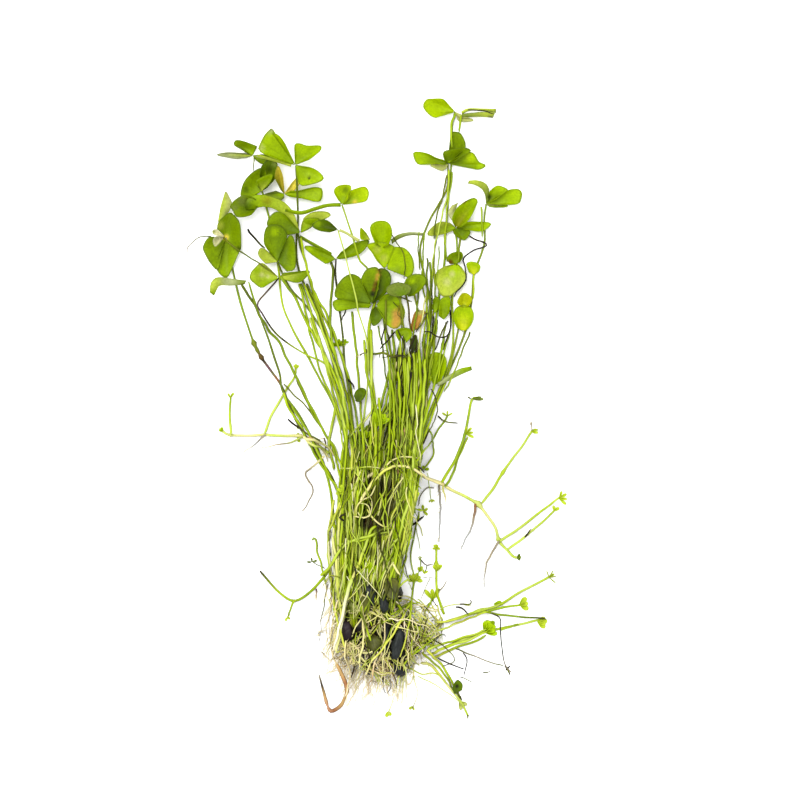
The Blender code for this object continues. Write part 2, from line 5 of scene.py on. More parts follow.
import bmesh
import bpy
import numpy as np
from mathutils import Matrix, Vector, noise
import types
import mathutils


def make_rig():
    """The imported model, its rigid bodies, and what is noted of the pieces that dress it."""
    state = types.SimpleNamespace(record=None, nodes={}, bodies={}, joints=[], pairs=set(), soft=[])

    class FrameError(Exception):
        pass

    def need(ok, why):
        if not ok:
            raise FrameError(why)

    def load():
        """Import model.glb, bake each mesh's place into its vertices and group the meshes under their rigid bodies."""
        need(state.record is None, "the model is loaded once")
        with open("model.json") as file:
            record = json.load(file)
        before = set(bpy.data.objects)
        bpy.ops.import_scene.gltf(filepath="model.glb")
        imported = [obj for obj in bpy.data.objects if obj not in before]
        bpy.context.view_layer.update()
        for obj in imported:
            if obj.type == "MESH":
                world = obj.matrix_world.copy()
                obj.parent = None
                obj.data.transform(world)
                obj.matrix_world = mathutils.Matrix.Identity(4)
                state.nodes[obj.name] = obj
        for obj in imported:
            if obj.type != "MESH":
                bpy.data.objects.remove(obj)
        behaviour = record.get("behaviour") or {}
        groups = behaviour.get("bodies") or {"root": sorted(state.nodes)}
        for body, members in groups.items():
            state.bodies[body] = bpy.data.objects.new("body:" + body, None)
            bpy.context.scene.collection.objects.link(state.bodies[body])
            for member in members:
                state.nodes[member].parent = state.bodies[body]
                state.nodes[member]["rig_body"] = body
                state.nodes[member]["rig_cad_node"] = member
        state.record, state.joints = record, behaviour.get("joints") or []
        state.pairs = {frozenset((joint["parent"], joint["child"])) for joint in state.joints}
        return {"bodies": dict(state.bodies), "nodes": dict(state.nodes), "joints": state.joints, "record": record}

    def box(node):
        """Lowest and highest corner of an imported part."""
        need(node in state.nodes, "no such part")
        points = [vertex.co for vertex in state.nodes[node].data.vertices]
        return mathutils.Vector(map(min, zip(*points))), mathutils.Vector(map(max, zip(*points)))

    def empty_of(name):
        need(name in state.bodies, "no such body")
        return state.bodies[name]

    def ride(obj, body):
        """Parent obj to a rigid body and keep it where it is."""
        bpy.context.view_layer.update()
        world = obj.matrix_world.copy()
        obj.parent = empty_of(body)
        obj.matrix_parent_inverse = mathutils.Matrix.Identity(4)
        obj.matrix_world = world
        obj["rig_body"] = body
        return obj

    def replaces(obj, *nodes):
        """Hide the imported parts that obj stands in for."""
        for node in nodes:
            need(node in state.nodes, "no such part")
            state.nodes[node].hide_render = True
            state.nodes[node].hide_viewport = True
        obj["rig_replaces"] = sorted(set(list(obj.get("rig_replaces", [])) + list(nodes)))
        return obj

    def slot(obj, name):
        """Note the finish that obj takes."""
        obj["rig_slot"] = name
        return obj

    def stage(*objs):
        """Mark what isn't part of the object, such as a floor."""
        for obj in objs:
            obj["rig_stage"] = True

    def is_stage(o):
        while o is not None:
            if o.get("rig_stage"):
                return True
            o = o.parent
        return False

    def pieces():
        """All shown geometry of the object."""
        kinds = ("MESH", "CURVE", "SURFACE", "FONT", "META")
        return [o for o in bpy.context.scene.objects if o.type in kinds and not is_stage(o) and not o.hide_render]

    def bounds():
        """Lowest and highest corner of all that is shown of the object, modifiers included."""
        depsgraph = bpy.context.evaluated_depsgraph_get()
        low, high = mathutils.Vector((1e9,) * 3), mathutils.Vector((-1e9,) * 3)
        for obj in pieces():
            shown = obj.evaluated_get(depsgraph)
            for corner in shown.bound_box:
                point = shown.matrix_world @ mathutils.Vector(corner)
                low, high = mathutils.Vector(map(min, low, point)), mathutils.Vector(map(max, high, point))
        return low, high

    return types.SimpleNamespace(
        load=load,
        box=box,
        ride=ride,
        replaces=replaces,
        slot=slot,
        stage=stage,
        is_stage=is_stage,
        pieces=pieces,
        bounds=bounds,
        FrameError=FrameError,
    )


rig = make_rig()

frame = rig.load()
cad_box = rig.bounds()


# Table, light and camera. The bunch lies on a plain white sheet in soft daylight, and the
# camera looks straight down on it. A point of the photograph is a column and a row of its
# 794 pixels, and one pixel is 0.3 mm on the sheet.
MM = 0.001
PIXEL = 0.0003
COLUMN_ZERO, ROW_ZERO = 376.5, 408.5    # the photograph point that lies over the origin
PHOTO_SIDE = 794
CAMERA_HEIGHT, CAMERA_REACH, SENSOR = 3.0, 20, 36
SHEET_HALF, SHEET_CELLS, PAPER_WHITE = 2.5, 8, (0.93, 0.93, 0.93, 1)
SKY_LIGHT, SUN_LIGHT = 1.6, 3.2
SUN_SPREAD, SUN_TILT = math.radians(35), (math.radians(-18), math.radians(-14), 0)


def on_table(column, row):
    """Metres on the table for a point of the photograph."""
    return (column - COLUMN_ZERO) * PIXEL, (ROW_ZERO - row) * PIXEL


def set_sockets(node, values):
    """Give a node's sockets their values, by the sockets' names."""
    for name, value in values.items():
        node.inputs[name].default_value = value


def placed(name, data):
    """A new object of the scene that holds a mesh, a light or a camera."""
    made = bpy.data.objects.new(name, data)
    scene.collection.objects.link(made)
    return made


scene = bpy.context.scene
scene.view_settings.view_transform = "Standard"
sheet = bmesh.new()
bmesh.ops.create_grid(sheet, x_segments=SHEET_CELLS, y_segments=SHEET_CELLS, size=SHEET_HALF)
sheet_mesh = bpy.data.meshes.new("white_sheet")
sheet.to_mesh(sheet_mesh)
sheet.free()
paper = bpy.data.materials.new("white sheet")
paper.use_nodes = True
set_sockets(paper.node_tree.nodes["Principled BSDF"],
            {"Base Color": PAPER_WHITE, "Roughness": 0.9, "Specular IOR Level": 0.1})
sheet_mesh.materials.append(paper)
white_sheet = placed("white_sheet", sheet_mesh)
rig.stage(white_sheet)

scene.world = bpy.data.worlds.new("daylight")
scene.world.use_nodes = True
sky = scene.world.node_tree.nodes["Background"]
set_sockets(sky, {"Color": (1, 1, 1, 1), "Strength": SKY_LIGHT})
sun = bpy.data.lights.new("soft_sun", "SUN")
sun.energy, sun.angle = SUN_LIGHT, SUN_SPREAD
placed("soft_sun", sun).rotation_euler = SUN_TILT

lens = bpy.data.cameras.new("camera")
lens.sensor_width = SENSOR
lens.lens = SENSOR * CAMERA_HEIGHT / (PHOTO_SIDE * PIXEL)
lens.clip_end = CAMERA_REACH
scene.camera = placed("camera", lens)
scene.camera.location = (*on_table(PHOTO_SIDE / 2, PHOTO_SIDE / 2), CAMERA_HEIGHT)


# Leaf stalks: long thin round stems, one to each clover leaf, that rise from the crown and
# lie over each other. They are fresh green, yellower near the crown, wet and finely grooved.
# Each starts in a foot that runs on under the crown, and that holds it.
WHITE_LEVEL = (2.15, 2.3, 2.9)  # how bright the light makes a pure white, by channel
GAMMA = 2.2
SHINE = 0.12
OBJECT_SOCKET, COLOUR_SOCKET = 3, 2     # of the Texture Coordinate and the Mix node
TIP_WIDTH, TIP_REACH = 0.75, 0.5        # of a stem's last ring and its tip, by its radius
STALK_STEP = 0.0012             # between the rings of a stalk
KNOT_SPACING = 0.0068           # between the points that a stalk's solid bends at
BEND_STEPS = 24                 # fine steps between two given points of a line
FOOT_SWAY, FOOT_REACH, FOOT_RINGS = 0.004, 0.009, 8
FOOT_ARCH, FOOT_LOWEST, FOOT_DROP = 0.0006, 0.003, 0.55
STALK_THICKEST, STALK_TAPER, STALK_WAVES = 1.05, 0.42, 0.08
STALK_SWAY = 0.0003, 110        # small bends: their size in metres, and how many to a metre


class Wire:
    """One output in a material. Arithmetic on it adds the Math nodes for the sum."""

    def __init__(self, tree, socket=None):
        self.tree, self.socket = tree, socket

    def add(self, kind, settings=None, values=None, output=0):
        """Any other node: settings first, then what goes into its sockets."""
        node = self.tree.nodes.new(kind)
        for name, value in (settings or {}).items():
            setattr(node, name, value)
        for name, value in (values or {}).items():
            if isinstance(value, Wire):
                self.tree.links.new(value.socket, node.inputs[name])
            else:
                node.inputs[name].default_value = value
        return Wire(self.tree, node.outputs[output])

    def sum(self, operation, first, second=0.0):
        return self.add("ShaderNodeMath", {"operation": operation}, {0: first, 1: second})

    def __add__(self, other):
        return self.sum("ADD", self, other)

    def __sub__(self, other):
        return self.sum("SUBTRACT", self, other)

    def __rsub__(self, other):
        return self.sum("SUBTRACT", other, self)

    def __mul__(self, other):
        return self.sum("MULTIPLY", self, other)

    __radd__ = __add__
    __rmul__ = __mul__

    def between(self, low, high):
        """0 below low and 1 above high, smooth between them."""
        return self.add("ShaderNodeMapRange", {"interpolation_type": "SMOOTHSTEP"},
                        {0: self, 1: low, 2: high})

    def mixed(self, low, high):
        """Colour that goes from low to high with this value."""
        return self.add("ShaderNodeMix", {"data_type": "RGBA"}, {0: self, 6: low, 7: high},
                        COLOUR_SOCKET)

    def shaded(self, strength):
        """This colour with its brightness multiplied."""
        return self.add("ShaderNodeVectorMath", {"operation": "SCALE"}, {0: self, 3: strength})

    def layered(self, under, *layers):
        """A colour under layers of this one, each where its mask is and so much brighter."""
        for mask, strength in layers:
            under = mask.mixed(under, self.shaded(strength))
        return under

    def grain(self, scale, detail=2.0, roughness=0.5):
        """Noise between 0 and 1 on this vector, stretched by scale."""
        stretched = self.add("ShaderNodeVectorMath", {"operation": "MULTIPLY"}, {0: self, 1: scale})
        return self.add("ShaderNodeTexNoise", {"noise_dimensions": "3D"}, {
            "Vector": stretched, "Scale": 1.0, "Detail": detail, "Roughness": roughness})


def new_finish(name, roughness, shine=SHINE):
    """A material, and wires for the surface's own colour, its place and its UV map."""
    material = bpy.data.materials.new(name)
    material.use_nodes = True
    shader = material.node_tree.nodes["Principled BSDF"]
    set_sockets(shader, {"Roughness": roughness, "Specular IOR Level": shine})
    wire = Wire(material.node_tree)
    own = wire.add("ShaderNodeAttribute", {"attribute_name": "pigment"})
    place = wire.add("ShaderNodeTexCoord", output=OBJECT_SOCKET)
    return material, own, place, wire.add("ShaderNodeUVMap", {"uv_map": "UVMap"})


def coated(material, colour, roughness, relief, strength, depth):
    """Lead a finish's colour, roughness and relief into its shader."""
    shader = material.node_tree.nodes["Principled BSDF"]
    bump = relief.add("ShaderNodeBump",
                      values={"Strength": strength, "Distance": depth, "Height": relief})
    for name, wire in (("Base Color", colour), ("Roughness", roughness), ("Normal", bump)):
        wire.tree.links.new(wire.socket, shader.inputs[name])
    return material


def stem_finish(name, roughness, spotting, painted_flank_shade=0.42):
    """Skin of a stem: its own colour, with painted shade on its flanks and painted light along its top, pale patches
    of painted highlight on the top, grooves along it and flecks.
    """
    material, own, place, uv = new_finish(name, roughness)
    # height runs round the ring: the flanks take painted shade and the top takes painted light
    height = uv.sum("SINE", uv.add("ShaderNodeSeparateXYZ", values={0: uv}) * (2 * math.pi))
    groove = place.grain((5200, 420, 5200), 3)
    fleck = place.grain((900, 500, 900), 4, 0.65)
    # Pale patches only on the top of the stem: painted highlight.
    pale = place.grain((300, 190, 300))
    colour = own.layered(
        height.between(0.2, 0.9).mixed(own.shaded(painted_flank_shade), own.shaded(1.12)),
        (groove.between(0.35, 0.65) * 0.35, 0.6),
        (pale.between(0.5, 0.72) * height.between(0.3, 1) * 0.5, 1.5),
        (fleck.between(0.6, 0.74) * spotting, 0.3))
    return coated(material, colour, groove * 0.25 + (roughness - 0.12), groove, 0.35, 0.00008)


def pigment(red, green, blue):
    """Base colour of a surface that shows as this sRGB colour in the light of the scene."""
    seen = zip((red, green, blue), WHITE_LEVEL)
    return tuple((part / 255) ** GAMMA / level for part, level in seen)


def pigments(words):
    """Colours by name, from words like "lime 180 212 22, green 142 176 14"."""
    entries = [entry.split() for entry in words.split(",")]
    return {name: pigment(*map(int, seen)) for name, *seen in entries}


def read(word):
    """A number where the word is one, or else the word."""
    for kind in (int, float):
        try:
            return kind(word)
        except ValueError:
            pass
    return word


def rows(table):
    """Rows of a table with semicolons between its cells. An indented line carries on its row."""
    lines = table.strip().replace("\n    ", " ").split("\n")
    return [[read(cell) for cell in line.split("; ")] for line in lines]


def listed(words=""):
    """What is listed between spaces, such as photograph points: "380,598 394,550"."""
    return [tuple(read(part) for part in entry.split(",")) for entry in words.split()]


def stops_on(points, count):
    """Even places on a smooth line through photograph points: so many, or so far apart."""
    points = listed(points) if isinstance(points, str) else points
    corners = [np.array(on_table(*point)) for point in points]
    padded = [2 * corners[0] - corners[1], *corners, 2 * corners[-1] - corners[-2]]
    fine = []
    for before, start, end, after in zip(padded, padded[1:], padded[2:], padded[3:]):
        for t in np.linspace(0, 1, BEND_STEPS, endpoint=False):
            bend = 2 * start + (end - before) * t
            bend = bend + (2 * before - 5 * start + 4 * end - after) * t ** 2
            bend = bend + (3 * start - before - 3 * end + after) * t ** 3
            fine.append(bend / 2)
    fine = np.array([*fine, corners[-1]])
    travelled = np.concatenate([[0], np.cumsum(np.linalg.norm(np.diff(fine, axis=0), axis=1))])
    if isinstance(count, float):
        count = max(3, round(travelled[-1] / count) + 1)
    stops = np.linspace(0, travelled[-1], count)
    return np.column_stack([np.interp(stops, travelled, fine[:, axis]) for axis in (0, 1)])


def eased(values, reach):
    """Values with their bends rounded off."""
    if len(values) < 2 * reach + 3:
        return values
    weights = np.hanning(2 * reach + 3)[1:-1]
    return np.convolve(np.pad(values, reach, mode="edge"), weights / weights.sum(), mode="valid")


def shares_of(route):
    """How far along it each place of a route is, from 0 to 1."""
    return np.linspace(0, 1, len(route))


def new_shape():
    """An empty shape with a UV map and a colour for each of its corners."""
    shape = bmesh.new()
    shape.loops.layers.uv.new("UVMap")
    shape.verts.layers.float_color.new("pigment")
    return shape


def add_stem(shape, route, radii, colours, sides=8):
    """A sheet rolled round a line of places and closed at its tips. UV: round it and along it."""
    route = np.asarray(route, float)
    count = len(route)
    radii = np.broadcast_to(radii, count).astype(float)
    colours = np.broadcast_to(colours, (count, 3))
    heading = np.gradient(route, axis=0)
    heading /= np.linalg.norm(heading, axis=1)[:, None] + 1e-12
    level = np.cross((0, 0, 1), heading) + (1e-9, 0, 0)
    level /= np.linalg.norm(level, axis=1)[:, None]
    upright = np.cross(heading, level)
    front = route[0] - heading[0] * radii[0] * TIP_REACH
    back = route[-1] + heading[-1] * radii[-1] * TIP_REACH
    picks = [0, *range(count), count - 1]
    widths = np.array([0.0, radii[0] * TIP_WIDTH, *radii[1:-1], radii[-1] * TIP_WIDTH, 0.0])
    widths = widths[:, None, None]
    turns = np.arange(sides + 1) % sides * (2 * math.pi / sides)
    around = (np.array([front, *route, back])[:, None]
              + widths * np.cos(turns)[None, :, None] * level[picks][:, None]
              + widths * np.sin(turns)[None, :, None] * upright[picks][:, None])
    made = bmesh.ops.create_grid(shape, x_segments=sides, y_segments=count + 1, size=0.5,
                                 calc_uvs=True)
    layer = shape.verts.layers.float_color["pigment"]
    for vertex in made["verts"]:
        column = round((vertex.co.x + 0.5) * sides)
        ring = round((vertex.co.y + 0.5) * (count + 1))
        vertex.co = around[ring][column]
        vertex[layer] = (*colours[picks[ring]], 1)


def finish_piece(name, shape, material, slot, *nodes):
    """Close a shape's seams, hand it to the frame, and hide the solids that it stands for."""
    bmesh.ops.remove_doubles(shape, verts=list(shape.verts), dist=1e-7)
    bmesh.ops.recalc_face_normals(shape, faces=list(shape.faces))
    mesh = bpy.data.meshes.new(name)
    shape.to_mesh(mesh)
    shape.free()
    mesh.shade_smooth()
    mesh.materials.append(material)
    piece = placed(name, mesh)
    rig.ride(piece, "root")
    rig.slot(piece, slot)
    if nodes:
        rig.replaces(piece, *nodes)
    return piece


def line_in_solid(node, points, step, spacing=KNOT_SPACING):
    """Fine places along a stem, at the height of its solid."""
    corners = np.array([vertex.co for vertex in frame["nodes"][node].data.vertices])
    heights = []
    for knot in stops_on(points, spacing):
        near = np.linalg.norm(corners[:, :2] - knot, axis=1)
        ring = corners[near < max(0.0008, near.min() * 1.4)]
        heights.append((ring[:, 2].min() + ring[:, 2].max()) / 2)
    route = stops_on(points, step)
    share = np.linspace(0, len(heights) - 1, len(route))
    height = np.interp(share, range(len(heights)), heights)
    return np.column_stack([route, eased(height, max(1, round(spacing / step / 3)))])


def wandered(route, amount, pace, seed):
    """A route with the small bends of a grown stem, held at its ends."""
    share = shares_of(route)
    hold = np.minimum(1, np.minimum(share, 1 - share) * 12)
    travelled = np.cumsum(np.linalg.norm(np.gradient(route, axis=0), axis=1)) * pace
    moved = route.copy()
    for axis in (0, 1):
        drift = [noise.noise((travel, seed * 7.3, axis * 31.7)) for travel in travelled]
        moved[:, axis] += np.array(drift) * amount * hold
    return moved


def mixed_along(route, words):
    """Colours along a route that pass through the tones named."""
    tones = np.array([STEM_TONES[word] for word in words.split()])
    share = np.linspace(0, len(tones) - 1, len(route))
    return np.column_stack([np.interp(share, range(len(tones)), channel) for channel in tones.T])


def distances(places, column, row):
    """Distances of places from a photograph point, as seen from above."""
    return np.linalg.norm(places[:, :2] - on_table(column, row), axis=1)


def stained(places, colours, stains, tones):
    """Colours with soft patches: each is a column, a row, a reach in pixels and a tone."""
    colours = np.array(colours)
    for column, row, reach, word in stains:
        share = np.clip(1.4 - distances(places, column, row) / (reach * PIXEL), 0, 1)[:, None]
        colours = colours * (1 - share) + np.array(tones[word]) * share
    return colours


def widened(route, radii, swellings):
    """Radii with a rounded swelling at each given column, row, radius and reach."""
    for column, row, thick, reach in swellings:
        away = distances(route, column, row) / reach * 1.5
        radii = np.maximum(radii, thick * np.exp(-away ** 2))
    return radii


# where the bunch has rotted: column, row, reach in pixels, how far gone
ROTTEN = listed("""
387,492,13,0.85 383,508,13,0.95 378,521,11,1 364,523,7,1 392,510,8,0.9 391,588,9,1
370,592,9,0.95 369,552,6,0.8 388,548,5,0.6 404,440,5,0.6 396,460,7,0.6 350,520,4,0.4
412,420,4,0.5 414,530,4,0.6 354,600,6,0.6 380,600,7,0.7 376,440,4,0.35 361,478,4,0.4
352,606,7,0.8 366,618,9,0.8 386,618,10,0.8 372,604,6,0.7 388,594,12,0.85 373,590,9,0.8
""")
STEM_TONES = pigments("""
lime 180 212 22, green 142 176 14, yellow 228 240 102, olive 122 136 24, brown 104 84 40,
pale 242 248 174, dark 50 42 20, black 26 22 16, tan 204 170 118, moss 98 116 18,
cream 258 252 192, light 202 230 98, rust 160 108 78, ash 168 160 148, root 266 250 208,
milk 256 262 224, mid 160 194 16, silk 296 288 270, smoke 184 190 206, umber 84 62 40,
purple 120 84 104, pink 214 168 140
""")


def rotted(places, colours, tone, depth):
    """Colours that turn to a tone of rot in the heart of the bunch."""
    rot = np.zeros(len(places))
    for column, row, reach, far in ROTTEN:
        distance = distances(places, column, row) / (reach * PIXEL)
        rot = np.maximum(rot, far * np.clip((1.35 - distance) * 1.8, 0, 1))
    rot = np.clip(rot * depth, 0, 1)[:, None]
    return colours * (1 - rot) + np.array(STEM_TONES[tone]) * rot


# name; radius; tones from the crown to the leaf; photograph points; stains; swellings
STALKS = """
crest_right; 0.00045; yellow lime green green; 380,598 394,550 406,480 418,420 426,370 434,330
    440,290 444,261 447,215 450,178 452,149 452,126 455,112
domed; 0.00045; yellow lime green lime green; 350,598 349,520 348,450 334,405 321,380 306,354
    289,321 282,302 279,275 275,250 270,222 266,206 262,191
crest_left; 0.00045; yellow lime green moss moss; 344,598 344,520 345,440 340,395 334,365 326,335
    313,302 303,282 297,262 296,240 298,222 298,200 296,166
upper_right; 0.00045; lime lime green olive; 384,598 392,570 405,500 416,430 424,380 428,340 430,300
    424,276 420,250 428,223 439,204 447,188 448,164
right; 0.00045; lime lime green olive green; 390,598 400,530 412,470 425,427 438,395 452,365 464,335
    471,305 474,276 484,244 484,222 486,204
far_left; 0.0005; lime green moss olive moss green moss; 352,598 345,520 333,480 320,460 306,437
    294,415 282,388 271,372 261,357 252,339 243,312 236,285 231,262 226,239; 252,345,5,olive
    255,351,3,olive 260,356.5,5,brown 264,361,3,dark 268,368,6,purple 276,380,5,rust;
    253,344,0.00105,0.002 256,351,0.0009,0.0012 261,357,0.0009,0.001
two_toned; 0.00045; lime green lime green; 388,598 395,560 405,500 418,445 430,412 440,388 447,370
    452,353 453,326 452,300 456,265 457,245 455,229
arched; 0.00045; yellow lime lime moss; 356,598 356,520 354,450 350,400 344,365 333,335 320,308
    310,282 305,262 300,246 298,232
middle_left; 0.00045; lime lime green moss; 340,598 338,520 342,460 346,430 341,395 336,362 326,337
    306,306 292,290 283,275 278,262
inner_green; 0.00045; pale lime moss dark; 360,598 360,520 356,450 350,400 344,362 342,331 336,280
    336,259
twin_lobe; 0.00045; yellow lime green lime; 378,598 384,520 389,440 390,380 386,340 380,300 368,269
    360,260 351,232 342,205
bright_middle; 0.00065; yellow lime lime lime; 370,598 374,540 375,480 375,408 371,369 369,331
    375,302 381,280 385,269; 385,498,22,olive
inner_right; 0.00036; lime green light light; 364,598 362,520 362,450 366,400 368,360 366,335
    358,311 356,299 350,274 341,241 338,230
low_left; 0.00038; yellow lime lime lime lime lime lime lime lime lime lime lime olive dark purple
    dark; 346,598 341,520 347,440 343,395 328,367 306,354 276,334 262,313 258,304 266,293 274,284
    279,278; 268,322,6,dark 284,340,4,dark 264,297,6,brown
pale_left; 0.00048; yellow lime green moss green; 339,598 334,520 326,470 312,438 301,418 283,391
    279,372 269,341 256,305 249,282
yellow_cluster; 0.00045; lime green lime olive; 392,598 402,520 420,450 432,415 446,380 455,345
    461,317
lower_right; 0.00045; lime green green; 396,598 405,520 412,470 420,435 428,405 434,386
"""
stalk_skin = stem_finish("fresh stalk", 0.42, 0.25)
chance = random.Random(11)
stalk_lines = []
for number, (name, radius, tones, points, *marks) in enumerate(rows(STALKS)):
    stains, swellings = [listed(cell) for cell in (*marks, "", "")[:2]]
    route = wandered(line_in_solid("stalk_" + name, points, STALK_STEP), *STALK_SWAY, number)
    foot = route[0] + (chance.uniform(-FOOT_SWAY, FOOT_SWAY), -FOOT_REACH, 0)
    foot[2] = max(FOOT_LOWEST, route[0][2] * FOOT_DROP)
    lead = np.linspace(foot, route[0], FOOT_RINGS + 1)[:-1]
    lead[:, 2] += np.sin(np.linspace(0, math.pi, FOOT_RINGS)) * FOOT_ARCH
    route = np.vstack([lead, route])
    stalk_lines.append(route)
    share = shares_of(route)
    radii = radius * (STALK_THICKEST - STALK_TAPER * share)
    radii = radii * (1 + STALK_WAVES * np.sin(share * 40 + number))
    shape = new_shape()
    colours = stained(route, mixed_along(route, tones), stains, STEM_TONES)
    add_stem(shape, route, widened(route, radii, swellings), rotted(route, colours, "dark", 0.85))
    slot = "brown_stalk" if name == "low_left" else "green_stalk"
    finish_piece(name + "_stalk", shape, stalk_skin, slot, "stalk_" + name)


# Packed stalks: the older stalks between the crown and the leaves, pressed side by side in three
# layers, with loose ones on top. Live ones are green and yellow, and those in the heart of the
# bunch have gone brown and black. Only their crowding holds them.
BUNDLE_HEIGHT = 0.0066
ROW_STEP = -4.0                 # pixels between the rings of a packed stalk
PACKED_SWAY = 0.0013, 130
PACKED_SIDES, TONES_ALONG = 7, 4        # sides of a packed stalk, tones drawn for it
HIGH_COUNT, STALK_NEAR = 56, 0.0024     # loose ones on top, and how near a leaf stalk lifts them
HIGH_TONES = "lime light yellow pale green lime moss cream"
# row, left column, right column, share of the height
PACKED_EDGES = np.array(listed("""
640,343,396,0.8 603,339,396,1.0 580,336,395,1.0 560,334,399,1.0 530,337,408,1.0 500,340,415,1.0
470,341,418,1.0 450,343,421,0.95 430,349,424,0.9 405,373,427,0.8 370,383,429,0.7 340,389,424,0.45
300,392,428,0.3
"""))
# name; number of stalks; lowest and highest level in the bundle; tones to draw from; slot
# The deep layer's dark tones are painted shade under the upper layers, mixed with real dead brown stalks.
PACKED = """
packed_deep; 36; 0.06; 0.42; dark moss moss dark brown green; brown_stalk
packed_middle; 46; 0.4; 0.74; green moss lime olive green dark; green_stalk
packed_top; 58; 0.72; 0.97; lime green yellow lime light pale moss green tan; green_stalk;
    stalk_bundle
"""


def packed_place(row, across):
    """Column of a place across the bundle at a row, and how high the bundle is there."""
    left, right, share = [np.interp(-row, -PACKED_EDGES[:, 0], edge) for edge in PACKED_EDGES.T[1:]]
    return left + (right - left) * across, share * BUNDLE_HEIGHT


def add_packed(shape, route, thick, colours):
    """A packed stalk that narrows at its upper end."""
    radii = thick * np.minimum(1, (1 - shares_of(route)) * 14 + 0.25)
    add_stem(shape, route, radii, colours, PACKED_SIDES)


for name, count, low, high, tones, slot, *nodes in rows(PACKED):
    shape = new_shape()
    for number in range(count):
        foot = (number + chance.random()) / count
        head = min(0.98, max(0.02, foot + chance.gauss(0, 0.2)))
        level = chance.uniform(low, high)
        first = chance.uniform(594, 626) - (24 if 0.36 < foot < 0.92 else 0)
        last = chance.choice([chance.uniform(327, 360), chance.uniform(345, 420),
                              chance.uniform(420, 540)])
        if foot < 0.4:
            last = max(last, 425 + 40 * chance.random())
        places = np.arange(first, last, ROW_STEP)
        share = shares_of(places)
        sway = np.sin(share * chance.uniform(3, 9) + number) * chance.uniform(0.02, 0.06)
        route = []
        for row, across in zip(places, foot + (head - foot) * share + sway):
            across = min(0.99, max(0.01, across))
            column, top = packed_place(row, across)
            dome = 1 - 0.5 * abs(2 * across - 1) ** 3
            route.append((*on_table(column, row), max(0.0005, top * level * dome)))
        route = wandered(np.array(route), *PACKED_SWAY, number + 50 * len(name))
        colours = mixed_along(route, " ".join(chance.choices(tones.split(), k=TONES_ALONG)))
        colours = rotted(route, colours, chance.choice(["dark", "black", "brown"]), 1)
        thick = chance.uniform(0.00022, 0.00046) if low > 0.3 else chance.uniform(0.0003, 0.0005)
        add_packed(shape, route, thick, colours)
    finish_piece(name, shape, stalk_skin, slot, *nodes)

stalk_points = np.vstack(stalk_lines)
high_chance = random.Random(23)
shape = new_shape()
for number in range(HIGH_COUNT):
    across = high_chance.uniform(0.7, 0.98) if number % 2 else high_chance.uniform(0.02, 0.98)
    lean, level = high_chance.gauss(0, 0.05), high_chance.uniform(0.1, 0.85)
    places = np.arange(high_chance.uniform(572, 592), high_chance.uniform(390, 470), ROW_STEP)
    route = []
    for row, share in zip(places, shares_of(places)):
        column, top = packed_place(row, min(0.98, max(0.02, across + lean * share)))
        near = stalk_points[distances(stalk_points, column, row) < STALK_NEAR]
        roof = near[:, 2].max() if len(near) else top
        route.append((*on_table(column, row), top * 0.95 + max(0, roof - top) * level))
    route = np.array(route)
    route[:, 2] = eased(route[:, 2], 5)
    route = wandered(route, *PACKED_SWAY, number + 2000)
    tones = " ".join(high_chance.choices(HIGH_TONES.split(), k=TONES_ALONG))
    colours = rotted(route, mixed_along(route, tones), "dark", 0.9)
    add_packed(shape, route, high_chance.uniform(0.0002, 0.0004), colours)
finish_piece("packed_high", shape, stalk_skin, "green_stalk")


# Clover leaves: four thin leaflets on each stalk, fan shaped, wavy, some folded or on edge.
# Veins fan out from the foot of a leaflet, its rim is darker, and old ones go yellow and brown.
# They grow from the tip of their stalk.
LEAF_TONES = pigments("""
lime 174 214 4, bright 192 230 6, light 192 216 78, green 134 168 8, mid 154 192 6,
dark 104 136 10, deep 76 98 12, olive 154 166 34, yellow 254 238 84, pale 208 222 138,
grey 176 192 140, orange 206 160 72, brown 120 86 30, tan 240 186 96, black 34 32 18,
gold 206 222 26, sage 130 152 66, milk 228 236 190, slate 92 98 78, moss 112 118 58,
glow 214 244 70, fresh 190 232 20, straw 262 252 104, snow 300 306 270
""")
BLADE = 0.00018
LEAF_SHINE = 0.05
LEAFLET_ACROSS, LEAFLET_OUTWARD = 22, 14
CUP, BAND_CUP, RIPPLE, RIPPLE_SCALE = 0.0007, 0.0005, 0.0007, 260
LOWEST = 0.0002                 # that a blade lies over the sheet
TOP_LEVEL = cad_box[1].z - 0.0001


def leaf_finish(name, rim_depth, mottling):
    """Skin of a leaflet: fan veins along its UV, a dark rim, mottling and pale patches of painted sheen."""
    material, own, place, uv = new_finish(name, 0.4, LEAF_SHINE)
    across, outward = [uv.add("ShaderNodeSeparateXYZ", values={0: uv}, output=k) for k in (0, 1)]
    vein = uv.grain((34, 1.2, 1))
    mottle = place.grain((1500, 1500, 1500), 4, 0.65)
    blotch_and_sheen = place.grain((260, 260, 260), 3)
    side = uv.sum("ABSOLUTE", across * 2 - 1)
    rim = uv.sum("MAXIMUM", outward.between(0.93, 0.97), side.between(0.9, 0.955))
    # The noise at 260 to the metre darkens some patches, the leaf's own mottling, and pales others: painted sheen.
    colour = own.layered(
        own,
        (blotch_and_sheen.between(0.42, 0.66) * 0.45, 0.74),
        (blotch_and_sheen.between(0.3, 0.46) * -0.35 + 0.35, 1.25),
        (vein.between(0.54, 0.62) * mottling, 0.66),
        (mottle.between(0.5, 0.66) * mottling, 0.62),
        (mottle.between(0.46, 0.34) * 0.4, 1.4),
        ((1 - outward.between(0.05, 0.45)) * 0.3, 1.3),
        (rim * rim_depth, 0.34))
    return coated(material, colour, mottle * 0.2 + 0.32, vein * 0.6 + mottle * 0.4, 0.3, 0.00012)


def leaf_tones(words):
    """Tones named in words: one, or foot>rim, or left|right. The paler side of a left|right leaflet is mostly a
    painted highlight; in olive|yellow it is a real yellow edge.
    """
    mark = "|" if "|" in words else ">"
    tones = [np.array(LEAF_TONES[word]) for word in words.split(mark)]
    return tones[0], tones[-1], mark


